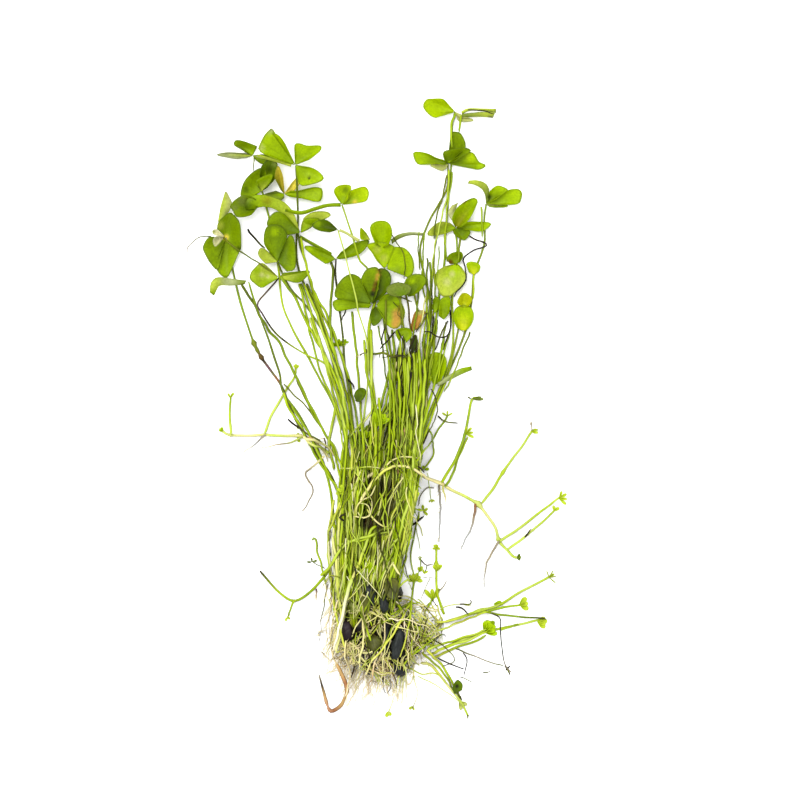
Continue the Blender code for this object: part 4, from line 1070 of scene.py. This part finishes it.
# radius in mm; tones; photograph points
LOOSE_STALKS = """
0.44; moss green lime; 242,285 251,299 260,315 268,329 279,342 284,352 292,369 300,384 307,399
    320,424 334,452 341,480
0.42; moss green lime yellow; 331,262 333,273 331,306 330,322 332,340 337,362 346,392 351,420
    352,470
0.4; lime green lime; 284,393 288,406 302,429 317,458 329,476 338,491 344,520
0.36; green lime; 292,406 304,425 311,437 323,462 336,488
0.4; olive green lime; 297,380 312,413 322,429 334,447 343,470
0.5; lime light lime; 336,404 332,426 329,446 334,470
0.24; olive olive dark; 284,384 298,398 312,414 320,427
0.3; black dark olive moss olive; 288,419 297,427 310,435 322,443 334,452
0.26; olive moss olive; 224,238 240,251 251,258 265,267 277,276
0.34; black dark moss; 248,229 250,233 256,240 265,248
0.17; moss ash; 211,236 200,237 192,242 188,248 188,253
0.2; olive moss; 254,157 254,164 254,172
0.36; lime green lime light; 299,284 302,295 306,315 313,345 323,378 336,410 344,450
0.4; green lime light lime; 301,284 304,292 311,312 320,342 330,374 340,405 347,445
0.4; lime light green lime; 304,284 307,291 316,312 327,343 337,374 346,408 352,450
0.36; moss lime green lime; 307,284 310,291 320,314 331,344 341,374 349,408 356,448
0.28; lime light lime; 449,170 448,190 443,212 436,240 433,262 432,285
0.4; green lime green; 455,113 452,122 451,133 452,149
0.4; lime green; 461,116 460,122 459,133
0.36; olive green; 460,238 459,252 458,262
0.34; lime; 474,273 473,286 473,299
0.5; lime light lime lime; 371,330 371,350 372,390 371,448 369,470
0.42; green lime green; 281,277 288,288 297,301 306,322 322,350 336,378 347,412 353,450
0.4; lime green; 301,238 304,256 309,275 316,296 328,318 338,345 349,380 357,420 361,455
0.42; green lime; 352,312 355,340 358,372 361,410 364,452
0.42; lime green lime; 364,340 368,380 379,420 381,462
0.4; green olive; 388,335 394,380 398,430 396,470
0.42; lime green; 403,340 407,390 408,440 403,500
0.42; olive green lime; 437,320 433,352 425,400 417,440 411,490
0.4; green lime; 444,338 438,368 429,404 421,436 414,476 408,520
0.4; green lime lime; 422,446 417,490 408,545 399,585 392,612
0.42; yellow lime yellow; 334,500 328,540 331,580 338,620 345,648
0.45; pale yellow pale; 333,537 336,560 338,590 341,626 336,652
0.4; yellow lime; 341,501 335,517 329,532 328,547 331,556
0.45; light lime light; 318,335 328,365 338,395 346,430
0.45; lime light lime; 326,340 336,368 343,396 349,430
0.42; light lime; 310,318 322,352 331,384 341,420
0.5; lime light lime lime; 413,352 415,375 413,410 410,450 405,500
0.5; mid lime light lime; 419,350 421,380 418,415 414,455 409,500
0.45; light lime light; 408,362 409,385 408,420 405,460
0.45; lime light; 425,360 424,390 421,425 417,460
0.4; milk pale milk; 330,530 329,552 332,575 337,600
0.4; pale milk pale; 334,528 333,550 335,572 339,600
0.36; milk light pale; 338,530 338,552 339,574 343,604
0.5; cream yellow cream cream; 361,500 366,492 370,486 376,479 384,471 390,468 398,465 408,466
    415,470 420,473 428,478 436,482 441,484
0.3; pale yellow; 361,470 356,485 352,500 350,515 352,530
0.26; pale lime; 364,462 363,480 358,497 355,508
0.26; yellow pale; 347,476 352,490 351,505 346,520
0.28; pale lime; 404,476 395,490 387,505 381,520
0.24; pale; 398,486 391,500 388,518
0.3; tan brown tan; 401,430 400,445 399,460 398,474
0.3; tan; 405,428 404,446 403,464
0.24; cream brown; 396,440 396,455 395,470
0.28; cream pale cream; 387,465 394,459 402,456 409,456 418,458
0.25; pale lime pale; 341,468 355,468 368,467 380,468
0.28; yellow cream pale; 357,517 357,505 362,499 370,495 376,485
0.24; pale cream; 358,512 364,517 371,512 372,500 367,493
0.22; cream pale; 354,516 362,518 370,514 368,506 360,503
0.32; yellow cream yellow; 367,509 371,516 377,521 384,526 391,527
0.32; pale yellow pale; 378,515 381,500 385,488 384,474
0.36; pale yellow lime; 391,526 392,516 397,507 404,498
0.5; lime light lime; 321,575 330,566 342,547 357,539 370,535 382,529 392,528
0.36; light lime light; 338,545 350,541 362,540 376,534 390,531
0.5; lime light yellow cream milk milk milk; 376,526 371,530 366,544 357,568 351,584 345,606 341,626
    335,650
0.3; light lime; 380,528 374,540 368,556 361,575 354,598
0.45; light lime lime; 408,504 402,522 398,548 390,580 383,600
0.32; pale yellow lime; 412,506 406,526 401,550 396,572
0.4; lime green lime; 400,512 396,540 386,566 374,590 364,612
0.36; light lime; 398,538 386,552 377,570 371,592 368,612
0.3; pale lime; 384,540 379,560 374,580 375,600
0.28; pale light; 393,545 388,565 380,585 378,604
0.42; pale cream; 392,562 396,568 400,574
0.4; green lime; 345,560 356,590 364,618 371,640
0.4; lime green lime; 365,437 364,455 367,481 370,493 366,508
0.3; dark brown; 360,460 358,472 352,484
0.34; black dark; 371,478 369,494 372,520 368,528
0.34; dark black; 412,525 418,520 424,516
0.3; lime green; 424,468 433,456 433,446 432,436 428,428
0.16; light green; 427,473 429,484 430,495 431,500
0.2; green lime; 410,508 416,508 421,510 427,511
0.18; ash moss; 434,488 428,487 423,492 420,498 418,506
0.3; green lime; 448,415 444,422 433,439 420,456 408,470
0.4; green lime; 445,486 450,480 456,464 463,446 468,437
0.26; lime green lime; 419,512 416,528 412,545 411,560 414,575
0.3; light lime; 410,578 403,582 397,589
0.12; moss ash; 430,578 425,590 421,600
0.12; moss; 422,578 429,576.6 436,578
0.16; moss; 427,565 426,569 424,574
0.3; green lime; 432,598 430,603 427,608
0.38; moss olive dark moss; 373,354 384,353 392,357 400,356 409,358
0.14; moss dark; 379,358 382,351 388,351 387,357 381,357
0.14; moss ash; 360,356 363,353 367,353
0.42; light lime yellow; 346,480 343,510 341,540 341,570 343,600
0.4; lime light; 352,485 350,515 347,545 345,575
0.45; lime light lime; 358,490 355,520 353,550 350,580
0.36; light yellow light; 349,500 352,530 352,560 348,585
0.4; yellow pale yellow; 341,505 339,530 338,560 339,588
0.34; light yellow; 344,500 347,520 346,548 344,580
0.42; lime light yellow light; 417,462 413,495 408,525 402,555
0.4; light yellow lime; 412,466 409,500 405,530 398,562
0.36; yellow light; 416,490 411,520 405,548 397,575
0.16; green; 420,558 420,568 417,578
0.2; dark ash; 421,560 427,565 433,564
0.34; green lime; 415,580 412,596 411,612
0.2; ash; 439,591 443,586 447,580
0.34; lime green dark; 482,611 492,613 501,615 517,616 538,617 546,619
0.36; green lime; 518,624 509,627 501,630
0.22; moss ash moss; 454,648 471,655 486,661 504,666
0.36; yellow lime light; 436,622 452,620 470,614 486,609 500,604
0.34; light yellow lime; 438,630 455,624 472,617 488,611
0.2; light pale; 440,610 452,605 464,604 472,606
0.45; yellow lime light lime; 430,654 446,647 460,642 474,637 487,631
0.4; light lime light; 428,649 445,643 460,638 475,633 486,629
0.42; yellow lime lime; 433,658 448,651 462,646 476,641 486,635
0.28; olive moss; 447,175 443,195 437,215 434,240
0.28; green lime; 452,172 449,195 446,220 444,245
0.3; lime green; 481,207 482,222 482,238
0.35; green moss lime; 430,262 431,280 430,300 427,330
0.3; olive green; 434,268 435,290 434,320
0.3; moss green; 427,258 427,280 428,300
0.22; olive moss; 436,236 434,262 432,290 434,315
0.22; green; 439,246 438,264 436,285
0.26; lime green; 445,230 446,248 447,262
0.26; green lime; 424,232 423,262 422,282 426,304 429,330 426,360
0.24; green olive; 419,232 418,250 420,270
0.28; lime green; 427,292 426,320 423,350 420,380
0.26; olive green; 431,298 431,325 428,356 424,390
0.26; green lime; 437,312 435,340 431,370 427,400
0.26; moss olive; 396,290 400,302 402,320 404,345
0.22; dark olive; 390,292 402,297 412,302
0.3; moss olive green; 398,282 401,300 403,322 405,350
0.3; olive brown olive; 404,288 408,305 410,325 411,350
0.24; pale light; 426,296 422,320 419,345 416,380
0.3; moss green olive; 420,286 417,305 414,330 411,360
0.28; olive moss; 386,300 386,320 388,345
0.3; green lime; 450,330 444,352 438,380
0.28; moss lime; 470,332 462,352 452,376 444,392
0.26; olive green; 446,322 442,345 436,368
0.3; lime moss; 414,284 416,300 419,312
0.34; green olive; 392,330 394,350 396,380
0.3; moss green; 431,300 428,322 424,345
0.3; olive lime; 436,296 433,322 430,348
0.26; green moss; 378,326 382,345 385,368 388,390
0.36; olive lime olive; 422,652 433,662 443,672 452,688
0.4; yellow lime dark; 427,650 439,662 449,676 456,690 462,700
0.2; light silk; 404,664 406,674 403,684 401,694
0.18; light silk light; 398,676 396,690 392,702 388,713
0.18; light silk moss; 414,676 417,690 416,700 413,709
0.18; light pale light; 418,676 436,686 452,696 464,706
0.45; lime mid lime; 398,372 400,400 399,430 396,470
0.45; mid lime light; 403,358 405,390 403,420 400,460
0.42; mid lime mid; 391,380 394,410 393,440 388,480
0.42; lime mid; 379,398 381,430 379,462
0.5; lime mid lime; 409,357 411,380 411,410 409,440
0.45; mid lime; 416,353 417,380 416,410
0.4; pale olive lime; 390,362 392,385 391,410
0.3; cream olive; 396,362 395,385 398,405
0.22; light yellow light; 410,668 422,674 436,673 447,684
0.34; lime green; 296,600 293,604 291,609 288,616
0.14; moss; 312,561 317,565 325,569
0.34; green lime green; 312,540 315,538 317,545 318,553 322,568 326,584
"""


def lay_leaves(name, table, slot):
    """Leaves that lie on what is under them, each a piece of its own."""
    for number, (foot, words, rise, lean, outline, *stains) in enumerate(rows(table)):
        shape = new_shape()
        add_leaflet(shape, (*on_table(*listed(foot)[0]), 0), "fan", words, rise, lean, outline,
                    listed(*stains), 0.7, number + 60)
        corners = np.array([vertex.co for vertex in shape.verts])
        lift = max(0.0, (surface_under(corners[:, :2]) - corners[:, 2]).max()) + BLADE
        bmesh.ops.translate(shape, verts=list(shape.verts), vec=(0, 0, lift))
        finish_blades(f"{name}_{number + 1}", shape, leaf_skin, slot)


def strayed(place, heading, steps, bend, pace):
    """Photograph points of a strand that starts at a place and bends by chance on its way."""
    points = [place]
    for _ in range(steps):
        heading += chance.gauss(0, bend)
        points.append(turned(*points[-1], heading, chance.uniform(*pace)))
    return points


def add_strand(shape, route, thick, taper, tones, sides):
    """A strand with shares of its radius at its two ends, such as (1, 0.6)."""
    radii = thick * np.linspace(*taper, len(route))
    add_stem(shape, route, radii, mixed_along(route, tones), sides)


lay_leaves("wilted_leaf", WILTED_LEAVES, "dead_leaf")
loose = new_shape()
for number, (thick, tones, points) in enumerate(rows(LOOSE_STALKS)):
    route = wandered(draped(points, thick * MM), *LOOSE_SWAY, number + 200)
    share = shares_of(route)
    radii = thick * MM * (1 - 0.2 * share) * np.minimum(1, (1 - share) * 16 + 0.5)
    colours = mixed_along(route, tones)
    if not FRESH_TONES & set(tones.split()):
        colours = rotted(route, colours, "dark", 0.9)
    add_stem(loose, route, radii, colours)
finish_piece("loose_stalks", loose, stalk_skin, "green_stalk")

crossing = new_shape()
for number in range(CROSSING_COUNT):
    row, across = chance.uniform(400, 580), chance.uniform(0.04, 0.96)
    heading = chance.choice([-90, -90, -84, -96, -78, -102, -72, -108]) + chance.gauss(0, 8)
    place = (packed_place(row, across)[0], row)
    points = strayed(place, heading, chance.randint(3, 8), 7, (6, 12))
    points = [(x, y) for x, y in points if 336 < x < 424 and y < 622]
    if len(points) < 3:
        continue
    thick = chance.uniform(0.1, 0.27) * MM
    route = wandered(draped(points, thick, CROSSING_STIFFNESS), *CROSSING_SWAY, number + 300)
    add_strand(crossing, route, thick, (1, 0.6), chance.choice(CROSSING_TONES), 6)
finish_piece("crossing_strands", crossing, stalk_skin, "green_stalk")
lay_leaves("side_leaf", SIDE_LEAVES, "green_leaf")


# Root crown: the matted base. Stalk feet, pieces of creeping stem and roots cross each other
# over soft lumps that have rotted to black, slate and olive. Their tangle holds them together.
LUMP_TONES = pigments("""
purple 46 36 44, slate 50 56 60, olive 92 98 46, umber 74 58 42, coal 38 36 32, moss 70 74 44
""")
# tone, column, row, half width and half length in pixels, turn, share of the crown's height
LUMPS = """
purple,347,631,6.4,10,8,0.84 slate,398,643,5.4,17,-12,0.9 slate,393,588,6.5,9,-30,0.84
slate,371,594,5.4,10,8,0.86 slate,384,604,4.6,8,0,0.86 olive,374,643,8,8,10,0.8
umber,367,665,5,7,12,0.5 slate,398,668,5,7,20,0.45 olive,366,604,6,8,-10,0.55
coal,384,628,12,12,0,0.4 coal,362,626,12,14,0,0.36 coal,408,626,8,10,0,0.34
umber,424,636,6,5,0,0.2 moss,391,588,8,12,-16,0.45 coal,375,600,16,14,0,0.34
moss,350,606,9,12,0,0.3 coal,388,658,10,10,0,0.4 umber,354,648,9,8,0,0.3 moss,408,648,9,8,0,0.34
slate,386,640,4,14,-4,0.66
"""
LUMP_THICKEST, LUMP_ROUGH = 0.0022, 0.35
# where the lumps show: column, row, reach in pixels
CROWN_GAPS = listed("""
398,640,8 399,652,6 347,631,8 391,588,8 372,592,6 374,643,6 386,628,6 358,624,5
""")
# radius in mm; share of the crown's height; tones; photograph points
CROWN_STRANDS = """
0.37; 0.99; yellow cream pale; 361,588 362,604 363,621 363,645 359,662
0.37; 0.97; lime yellow yellow cream; 411,602 396,629 382,648 371,662 366,674
0.27; 0.95; lime yellow; 411,606 409,620 407,634 400,656
0.3; 0.93; cream yellow cream; 349,612 363,611 374,613 382,617
0.31; 0.95; lime green lime; 412,601 400,609 391,614
0.27; 0.9; yellow lime; 352,586 358,600 366,612 372,626
0.25; 0.9; cream yellow; 362,594 370,600 375,608 379,616
0.19; 0.85; cream yellow cream; 396,596 405,596 417,601 428,607 438,610
0.18; 0.86; yellow cream; 398,600 408,600 420,606 432,614 440,622
0.19; 0.88; cream yellow; 400,604 412,609 424,616 434,626 441,636
0.22; 0.9; light lime; 383,622 392,618 402,610 412,604 420,602
0.19; 0.92; pale cream; 346,611 355,609 365,610 376,613
0.19; 0.9; cream yellow; 366,622 374,618 382,612 384,604
0.18; 0.8; cream yellow; 418,614 424,622 431,626 439,624 442,618
0.18; 0.8; yellow cream; 414,622 420,630 428,634 436,630 441,624
0.16; 0.8; cream pale; 422,610 428,616 427,624 420,628 414,634
0.18; 0.8; yellow lime; 432,614 438,621 436,631 428,638 420,642
0.18; 0.85; cream; 339,612 336,626 332,642 326,654
0.19; 0.85; pale cream; 341,618 337,634 334,648 331,660
0.3; 0.9; cream pale; 350,642 356,646 362,652 370,652 374,648
0.25; 0.8; cream root; 384,612 385,628 383,646 379,660
0.25; 0.8; root cream; 395,600 396,616 402,628 410,636
0.25; 0.8; yellow lime; 406,650 412,640 418,630 422,618
0.3; 0.82; lime green; 413,654 421,648 431,640 442,634
0.12; 0.85; dark umber; 438,612 443,622 441,634 436,640
0.12; 0.85; dark umber; 426,632 430,626 436,628 442,621
0.3; 0.75; lime yellow lime; 404,664 412,654 420,646 430,644 438,649
0.37; 0.7; cream yellow cream; 380,660 389,657 398,661 407,668
0.13; 0.7; black dark; 386,672 383,680 384,690 388,692 391,684 390,675
0.25; 0.7; umber dark; 355,656 354,668 352,679
0.3; 0.8; root cream root; 346,590 346,606 341,622 335,637 332,650 336,664
0.25; 0.7; cream root; 342,596 338,614 331,630 330,646
0.25; 0.7; lime yellow; 392,600 382,616 372,634 352,650
0.25; 0.7; yellow root; 378,610 372,630 360,650 352,664
0.3; 0.95; yellow cream light; 383,602 386,598 391,599 392,604 388,609 386,614 389,619
0.28; 0.94; light yellow; 385,604 388,602 390,606 387,612 391,617
0.2; 0.6; light silk; 402,668 400,684 397,702
0.2; 0.6; lime silk; 403,668 403,686 402,704
0.2; 0.6; light silk; 404,668 406,684 407,700
0.18; 0.6; yellow silk; 401,670 396,684 392,696
0.24; 0.8; cream yellow cream; 338,645 346,643 354,646 357,653 350,657
0.24; 0.8; yellow cream; 337,652 344,649 351,652 356,658
0.24; 0.8; cream root; 340,658 346,654 352,657 350,663
0.26; 0.9; cream pale; 370,612 362,618 356,626 352,636
0.24; 0.9; yellow cream; 381,604 372,612 366,622 364,634
"""
# column; row; reach across; reach along; strands; tones to draw from
CLUMPS = """
347; 651; 9; 8; 60; cream tan, cream, brown cream, yellow cream, root
383; 668; 9; 12; 60; root tan, cream root, brown tan, root silk, yellow
426; 634; 13; 16; 44; cream yellow, yellow light, cream, olive yellow, dark black, lime
409; 662; 7; 12; 22; yellow light, cream, light, brown yellow
"""
RIGHT_TONES = ["cream yellow", "light cream", "yellow pale", "lime yellow", "dark brown"]
LEFT_TONES = ["cream", "silk cream", "lime yellow", "cream light", "pale yellow", "pale cream",
              "root cream", "silk", "dark black", "lime light", "brown dark"]
STRAND_COUNT, CROWN_STEP = 460, 0.0008
LONG_SWAY, SHORT_SWAY, CLUMP_SWAY = (0.0004, 300), (0.0006, 320), (0.0004, 320)


def rot_finish():
    """Wet rotted tissue: almost black, with olive and slate patches and a lumpy skin."""
    material, own, place, _ = new_finish("rotted tissue", 0.5)
    patch = place.grain((700, 450, 700), 5, 0.7)
    fibre = place.grain((3600, 600, 3600), 3)
    colour = own.layered(own, (patch.between(0.4, 0.6) * 0.6, 0.35),
                         (fibre.between(0.55, 0.7) * 0.5, 2.2))
    return coated(material, colour, patch * 0.4 + 0.25, patch * 0.5 + fibre * 0.5, 0.6, 0.0002)


def add_lump(shape, centre, sizes, turn, tone, seed):
    """A rounded lump with an uneven skin: a ball pushed in and out by noise."""
    made = bmesh.ops.create_icosphere(shape, subdivisions=3, radius=1)
    layer = shape.verts.layers.float_color["pigment"]
    spin = Matrix.Rotation(math.radians(turn), 3, "Z")
    for vertex in made["verts"]:
        out = vertex.co.copy()
        swell = 1 + LUMP_ROUGH * noise.noise(out * 1.7 + Vector((seed, seed, seed)))
        swell += LUMP_ROUGH * 0.5 * noise.noise(out * 4.1 + Vector((seed, 0, seed)))
        vertex.co = spin @ Vector([part * size for part, size in zip(out * swell, sizes)])
        vertex.co += Vector(centre)
        vertex.co.z = max(vertex.co.z, 0.0001)
        vertex[layer] = (*LUMP_TONES[tone], 1)


crown_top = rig.box("root_crown")[1].z
lumps = new_shape()
for number, (tone, column, row, wide, long, turn, level) in enumerate(listed(LUMPS)):
    thick = min(LUMP_THICKEST, wide * PIXEL * 0.8)
    height = crown_top * level + 0.0006
    add_lump(lumps, (*on_table(column, row), max(thick, height - thick * 0.5)),
             (wide * PIXEL, long * PIXEL, thick), turn, tone, number * 3.1)
    add_lump(lumps, (*on_table(column + 2, row + 3), height * 0.45),
             (wide * PIXEL * 1.1, long * PIXEL * 0.9, height * 0.45), turn + 20, "coal",
             number * 5.7)
finish_piece("rotted_lumps", lumps, rot_finish(), "crown")


def over_crown(points, radius, level):
    """A strand through photograph points at a share of the crown's height."""
    route = stops_on(points, CROWN_STEP)
    height = eased(surface_under(route) * level, 3)
    return np.column_stack([route, np.maximum(height - radius, radius + 0.0001)])


strands = new_shape()
for number, (thick, level, tones, points) in enumerate(rows(CROWN_STRANDS)):
    route = wandered(over_crown(points, thick * MM, level), *LONG_SWAY, number + 400)
    share = shares_of(route)
    radii = thick * MM * (1.05 - 0.25 * share) * (1 + 0.12 * np.sin(share * 25 + number))
    add_stem(strands, route, radii, mixed_along(route, tones))
for number in range(STRAND_COUNT):
    right_side = number % 4 == 0
    column = chance.uniform(404, 440) if right_side else chance.uniform(334, 410)
    place = (column, chance.uniform(598, 656))
    heading = chance.choice([-90, -90, -80, -100, -60, -120, -30, -150]) + chance.gauss(0, 12)
    points = strayed(place, heading, chance.randint(3, 8), 17 if right_side else 12, (5, 10))
    points = [(x, y) for x, y in points if 332 < x < 443 and y < 690 - abs(x - 384) * 0.8]
    over_gap = any(math.dist(point, gap[:2]) < gap[2] for point in points for gap in CROWN_GAPS)
    if len(points) < 3 or over_gap and chance.random() < 0.88:
        continue
    thick = chance.uniform(0.08, 0.22) * MM
    tones = chance.choice(RIGHT_TONES if right_side else LEFT_TONES)
    route = over_crown(points, thick, chance.uniform(0.4, 0.98))
    add_strand(strands, wandered(route, *SHORT_SWAY, number + 500), thick, (1, 0.6), tones, 6)
for column, row, across, along, count, tones in rows(CLUMPS):
    for number in range(count):
        heading = chance.uniform(0, 360)
        place = (column + chance.gauss(0, across / 2), row + chance.gauss(0, along / 2))
        points = strayed(place, heading, chance.randint(2, 4), 30, (2, 5))
        thick = chance.uniform(0.07, 0.17) * MM
        route = over_crown(points, thick, chance.uniform(0.3, 0.98))
        add_strand(strands, wandered(route, *CLUMP_SWAY, number + column), thick, (1, 1),
                   chance.choice(tones.split(", ")), 5)
crown_skin = stem_finish("matted strands", 0.5, 0.25, 0.6)
finish_piece("crown_strands", strands, crown_skin, "crown", "root_crown")


# Roots: fine cream and brown fibres that hang from the crown and from the joints of the
# creeping stems, softer and paler towards their tips. They lie loose on the sheet.
ROOT_BEND, ROOT_JOINT = 46, 7   # degrees of bend at a joint, pixels between joints
LOWEST_ROW = 724                # of the photograph that a root's tip reaches
ROOT_STEP, ROOT_FALL, ROOT_REST = 0.0009, 2.2, 0.0002
TUFT_COUNT, LEFT_COUNT, HAIR_COUNT = 120, 34, 5
TUFT_SWAY, LEFT_SWAY, SIDE_SWAY = (0.0011, 330), (0.0009, 330), (0.0005, 330)
TUFT_TONES = ["root silk", "cream silk", "silk", "tan root silk", "brown root silk", "root silk",
              "yellow silk", "silk"]
LEFT_ROOT_TONES = ["cream silk", "root silk", "silk", "light cream silk", "tan root",
                   "yellow silk"]
# radius in mm; tones; photograph points
SIDE_ROOTS = """
0.36; ash smoke smoke; 439,485 440,502 440,523 439,542
0.3; yellow root; 443,486 444,495 446,503
0.42; rust ash smoke smoke; 475,504 474,517 472,527 466,539 461,549
0.36; ash ash smoke; 499,541 495,547 489,558 485,570 484,588
0.3; ash smoke silk; 265,435 257,443 250,448 240,454
0.32; light ash silk; 302,437 295,441 286,444 274,445 261,447
0.46; cream light cream; 304,437 312,444 322,449 330,458
0.46; cream pale cream; 306,439 316,441 327,446 334,455
0.3; tan cream; 309,437 318,444 325,455 328,462
0.36; cream ash ash ash; 324,456 315,465 305,473 308,480 313,488 310,500 302,511
0.3; purple root; 316,589 316,594 316,601
0.2; ash moss smoke smoke; 328,584 324,600 322,617 320,632 319,648
0.56; light milk silk silk; 352,578 346,600 342,618 338,635 333,650
0.2; olive yellow; 340,577 332,575 326,580 322,589
0.22; yellow olive yellow; 331,577 331,590 335,601 340,612
0.26; light yellow; 336,576 334,589 334,602 338,612
0.2; cream silk; 327,579 326,592 330,606 334,620
0.24; root silk; 334,596 330,612 326,626 327,640 323,652
0.24; root cream; 338,600 333,618 331,636 326,650
0.22; smoke silk; 318,634 328,628 338,622
0.24; ash silk; 322,652 328,658 332,662
0.26; root tan silk; 375,660 372,676 368,690 364,700
0.26; brown dark; 392,672 396,680 397,688
0.24; cream root; 346,640 345,656 350,672 347,690 346,706
0.22; ash silk; 356,668 350,684 345,696
0.24; brown dark; 324,438 326,444 326,451
0.26; ash; 531,422 532,431
0.3; dark black; 525,537 528,533 531,529
0.24; dark ash; 360,355 363,354 366,353
"""


def grown_root(column, row, heading, length, height, seed):
    """A root that wanders on the sheet, and comes down to it from its height in metres."""
    points, joints = [(column, row)], max(3, round(length / ROOT_JOINT))
    for part in range(joints):
        heading += noise.noise((part * 0.7, seed * 3.3, 0)) * ROOT_BEND
        points.append(turned(*points[-1], heading, length / joints))
    route = stops_on([(x, min(y, LOWEST_ROW)) for x, y in points], ROOT_STEP)
    fall = (1 - shares_of(route)) ** ROOT_FALL
    return np.column_stack([route, ROOT_REST + height * fall])


root_skin = stem_finish("fine roots", 0.6, 0.12, 0.8)
tuft = new_shape()
for number in range(TUFT_COUNT):
    column = chance.triangular(330, 428, 366)
    row = chance.uniform(640, 668) + max(0, 16 - abs(column - 384) * 0.6)
    heading = -90 + (column - 372) * 0.5 + chance.gauss(0, 18)
    length = chance.uniform(16, 34) + max(0, 26 - abs(column - 366) * 0.9)
    thick = chance.uniform(0.05, 0.13) * MM
    tones = chance.choice(TUFT_TONES)
    route = grown_root(column, row, heading, length, chance.uniform(0.0008, 0.0045), number)
    add_strand(tuft, wandered(route, *TUFT_SWAY, number + 700), thick, (1.2, 0.5), tones, 5)
for number in range(LEFT_COUNT):
    column, row = chance.uniform(330, 346), chance.uniform(586, 650)
    route = grown_root(column, row, chance.gauss(-96, 13), chance.uniform(22, 58),
                       chance.uniform(0.0008, 0.004), number + 400)
    tones = chance.choice(LEFT_ROOT_TONES)
    thick = chance.uniform(0.06, 0.16) * MM
    add_strand(tuft, wandered(route, *LEFT_SWAY, number + 1200), thick, (1.2, 0.6), tones, 5)
finish_piece("root_fibres", tuft, root_skin, "roots", "root_tuft")

side_roots = new_shape()
for number, (thick, tones, points) in enumerate(rows(SIDE_ROOTS)):
    route = wandered(draped(points, thick * 0.0009, 0.002), *SIDE_SWAY, number + 900)
    add_strand(side_roots, route, thick * MM, (1.1, 0.45), tones, 7)
    for side in range(HAIR_COUNT):
        x, y, z = route[chance.randrange(len(route))]
        hair = grown_root(x / PIXEL + COLUMN_ZERO, ROW_ZERO - y / PIXEL, chance.uniform(180, 360),
                          chance.uniform(4, 9), z, number + side)
        add_strand(side_roots, hair, 1, (0.00009, 0.00004), "root pale", 5)
finish_piece("side_roots", side_roots, root_skin, "roots")


# Dead folded straw: a flat dry stalk by the roots, bent twice, tan with pink and a dark tip.
# It lies loose on the sheet, and it is thin where it is bent.
STRAW_POINTS = "337,664 341,672 347,688 344,699 340,706 331,711 327,704 324,693 319,675"
STRAW_SHARES = [0, 0.1, 0.32, 0.36, 0.45, 0.62, 0.66, 0.7, 0.84, 1]
STRAW_RADII = [0.0005, 0.0006, 0.00062, 0.0004, 0.0006, 0.0006, 0.0003, 0.00055, 0.0004, 0.0002]
straw = new_shape()
route = line_in_solid("dead_straw", STRAW_POINTS, 0.0006, 0.003)
radii = np.interp(shares_of(route), STRAW_SHARES, STRAW_RADII)
add_stem(straw, route, radii, mixed_along(route, "tan tan rust tan tan rust pink tan dark ash"))
finish_piece("dry_straw", straw, stem_finish("dry straw", 0.65, 0.5), "straw", "dead_straw")


# Dead black threads: stalks that have withered to wiry black lines, draped over leaves and
# stems, with the stiff one low on the right that has a solid of its own.
STIFF_POINTS, STIFF_RADIUS = "491,613 500,618 500,629 502,648 505,665 511,672", 0.0002
STIFF_SWAY, THREAD_SWAY, THREAD_STIFFNESS = (0.0003, 240), (0.0003, 300), 0.0024
# radius in mm; photograph points
THREADS = """
0.26; 469,236 477,240 483,242 487,245 482,248 474,250 468,254 464,259 464,264 466,274 466,280
    463,285 457,291 454,297
0.28; 450,310 450,328 447,336 440,338 433,335 429,332 424,332
0.28; 427,313 423,322 416,332
0.26; 448,321 441,334 435,350
0.24; 448,336 443,350
0.26; 433,316 432,333
0.18; 391,234 402,251 405,263 404,279
0.3; 395,332 388,340 380,349
0.13; 393,302 399,308 397,314 402,319
0.26; 385,324 381,344
0.26; 346,310 342,320
0.3; 348,379 353,384 354,389
0.2; 431,389 436,400 437,414 430,429 423,442
0.26; 438,416 444,421 458,423
0.26; 415,335 410,349 412,361 410,380
0.18; 468,110 484,111 493,114
0.3; 456,607 462,608 468,614
0.26; 460,604 470,604 472,602 470,600
0.2; 435,640 445,647 452,654 454,660 450,664 443,666
0.24; 438,658 451,664 464,669
0.2; 463,653 467,660 464,675
0.3; 506,670 510,666
0.3; 505,666 510,675
0.22; 483,672.4 487,672 490,671.4
0.16; 460,677 468,680 474,682.4
0.26; 468,715 468,719
0.3; 430,429 426,437 423,444
0.2; 398,330 404,346 400,372 404,396
0.2; 412,372 408,400 412,430
0.34; 344,520 340,516 346,513
0.3; 418,466 424,472
0.12; 406,640 412,644 420,638 428,636
0.12; 424,606 430,612 436,620
"""
threads = new_shape()
route = wandered(line_in_solid("dead_stalk_right", STIFF_POINTS, CREEPER_STEP), *STIFF_SWAY, 3)
add_strand(threads, route, STIFF_RADIUS, (1, 1), "dark black black ash", 7)
for number, (thick, points) in enumerate(rows(THREADS)):
    route = wandered(draped(points, thick * MM, THREAD_STIFFNESS), *THREAD_SWAY, number + 1000)
    tones = chance.choice(["black dark", "dark black", "dark olive dark"])
    add_strand(threads, route, thick * MM, (1, 0.7), tones, 6)
finish_piece("black_threads", threads, stem_finish("withered threads", 0.5, 0.4), "dead_stalk",
             "dead_stalk_right")


low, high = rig.bounds()
with open("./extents.json", "w") as size_file:
    json.dump([[list(corner) for corner in cad_box], [list(low), list(high)]], size_file)
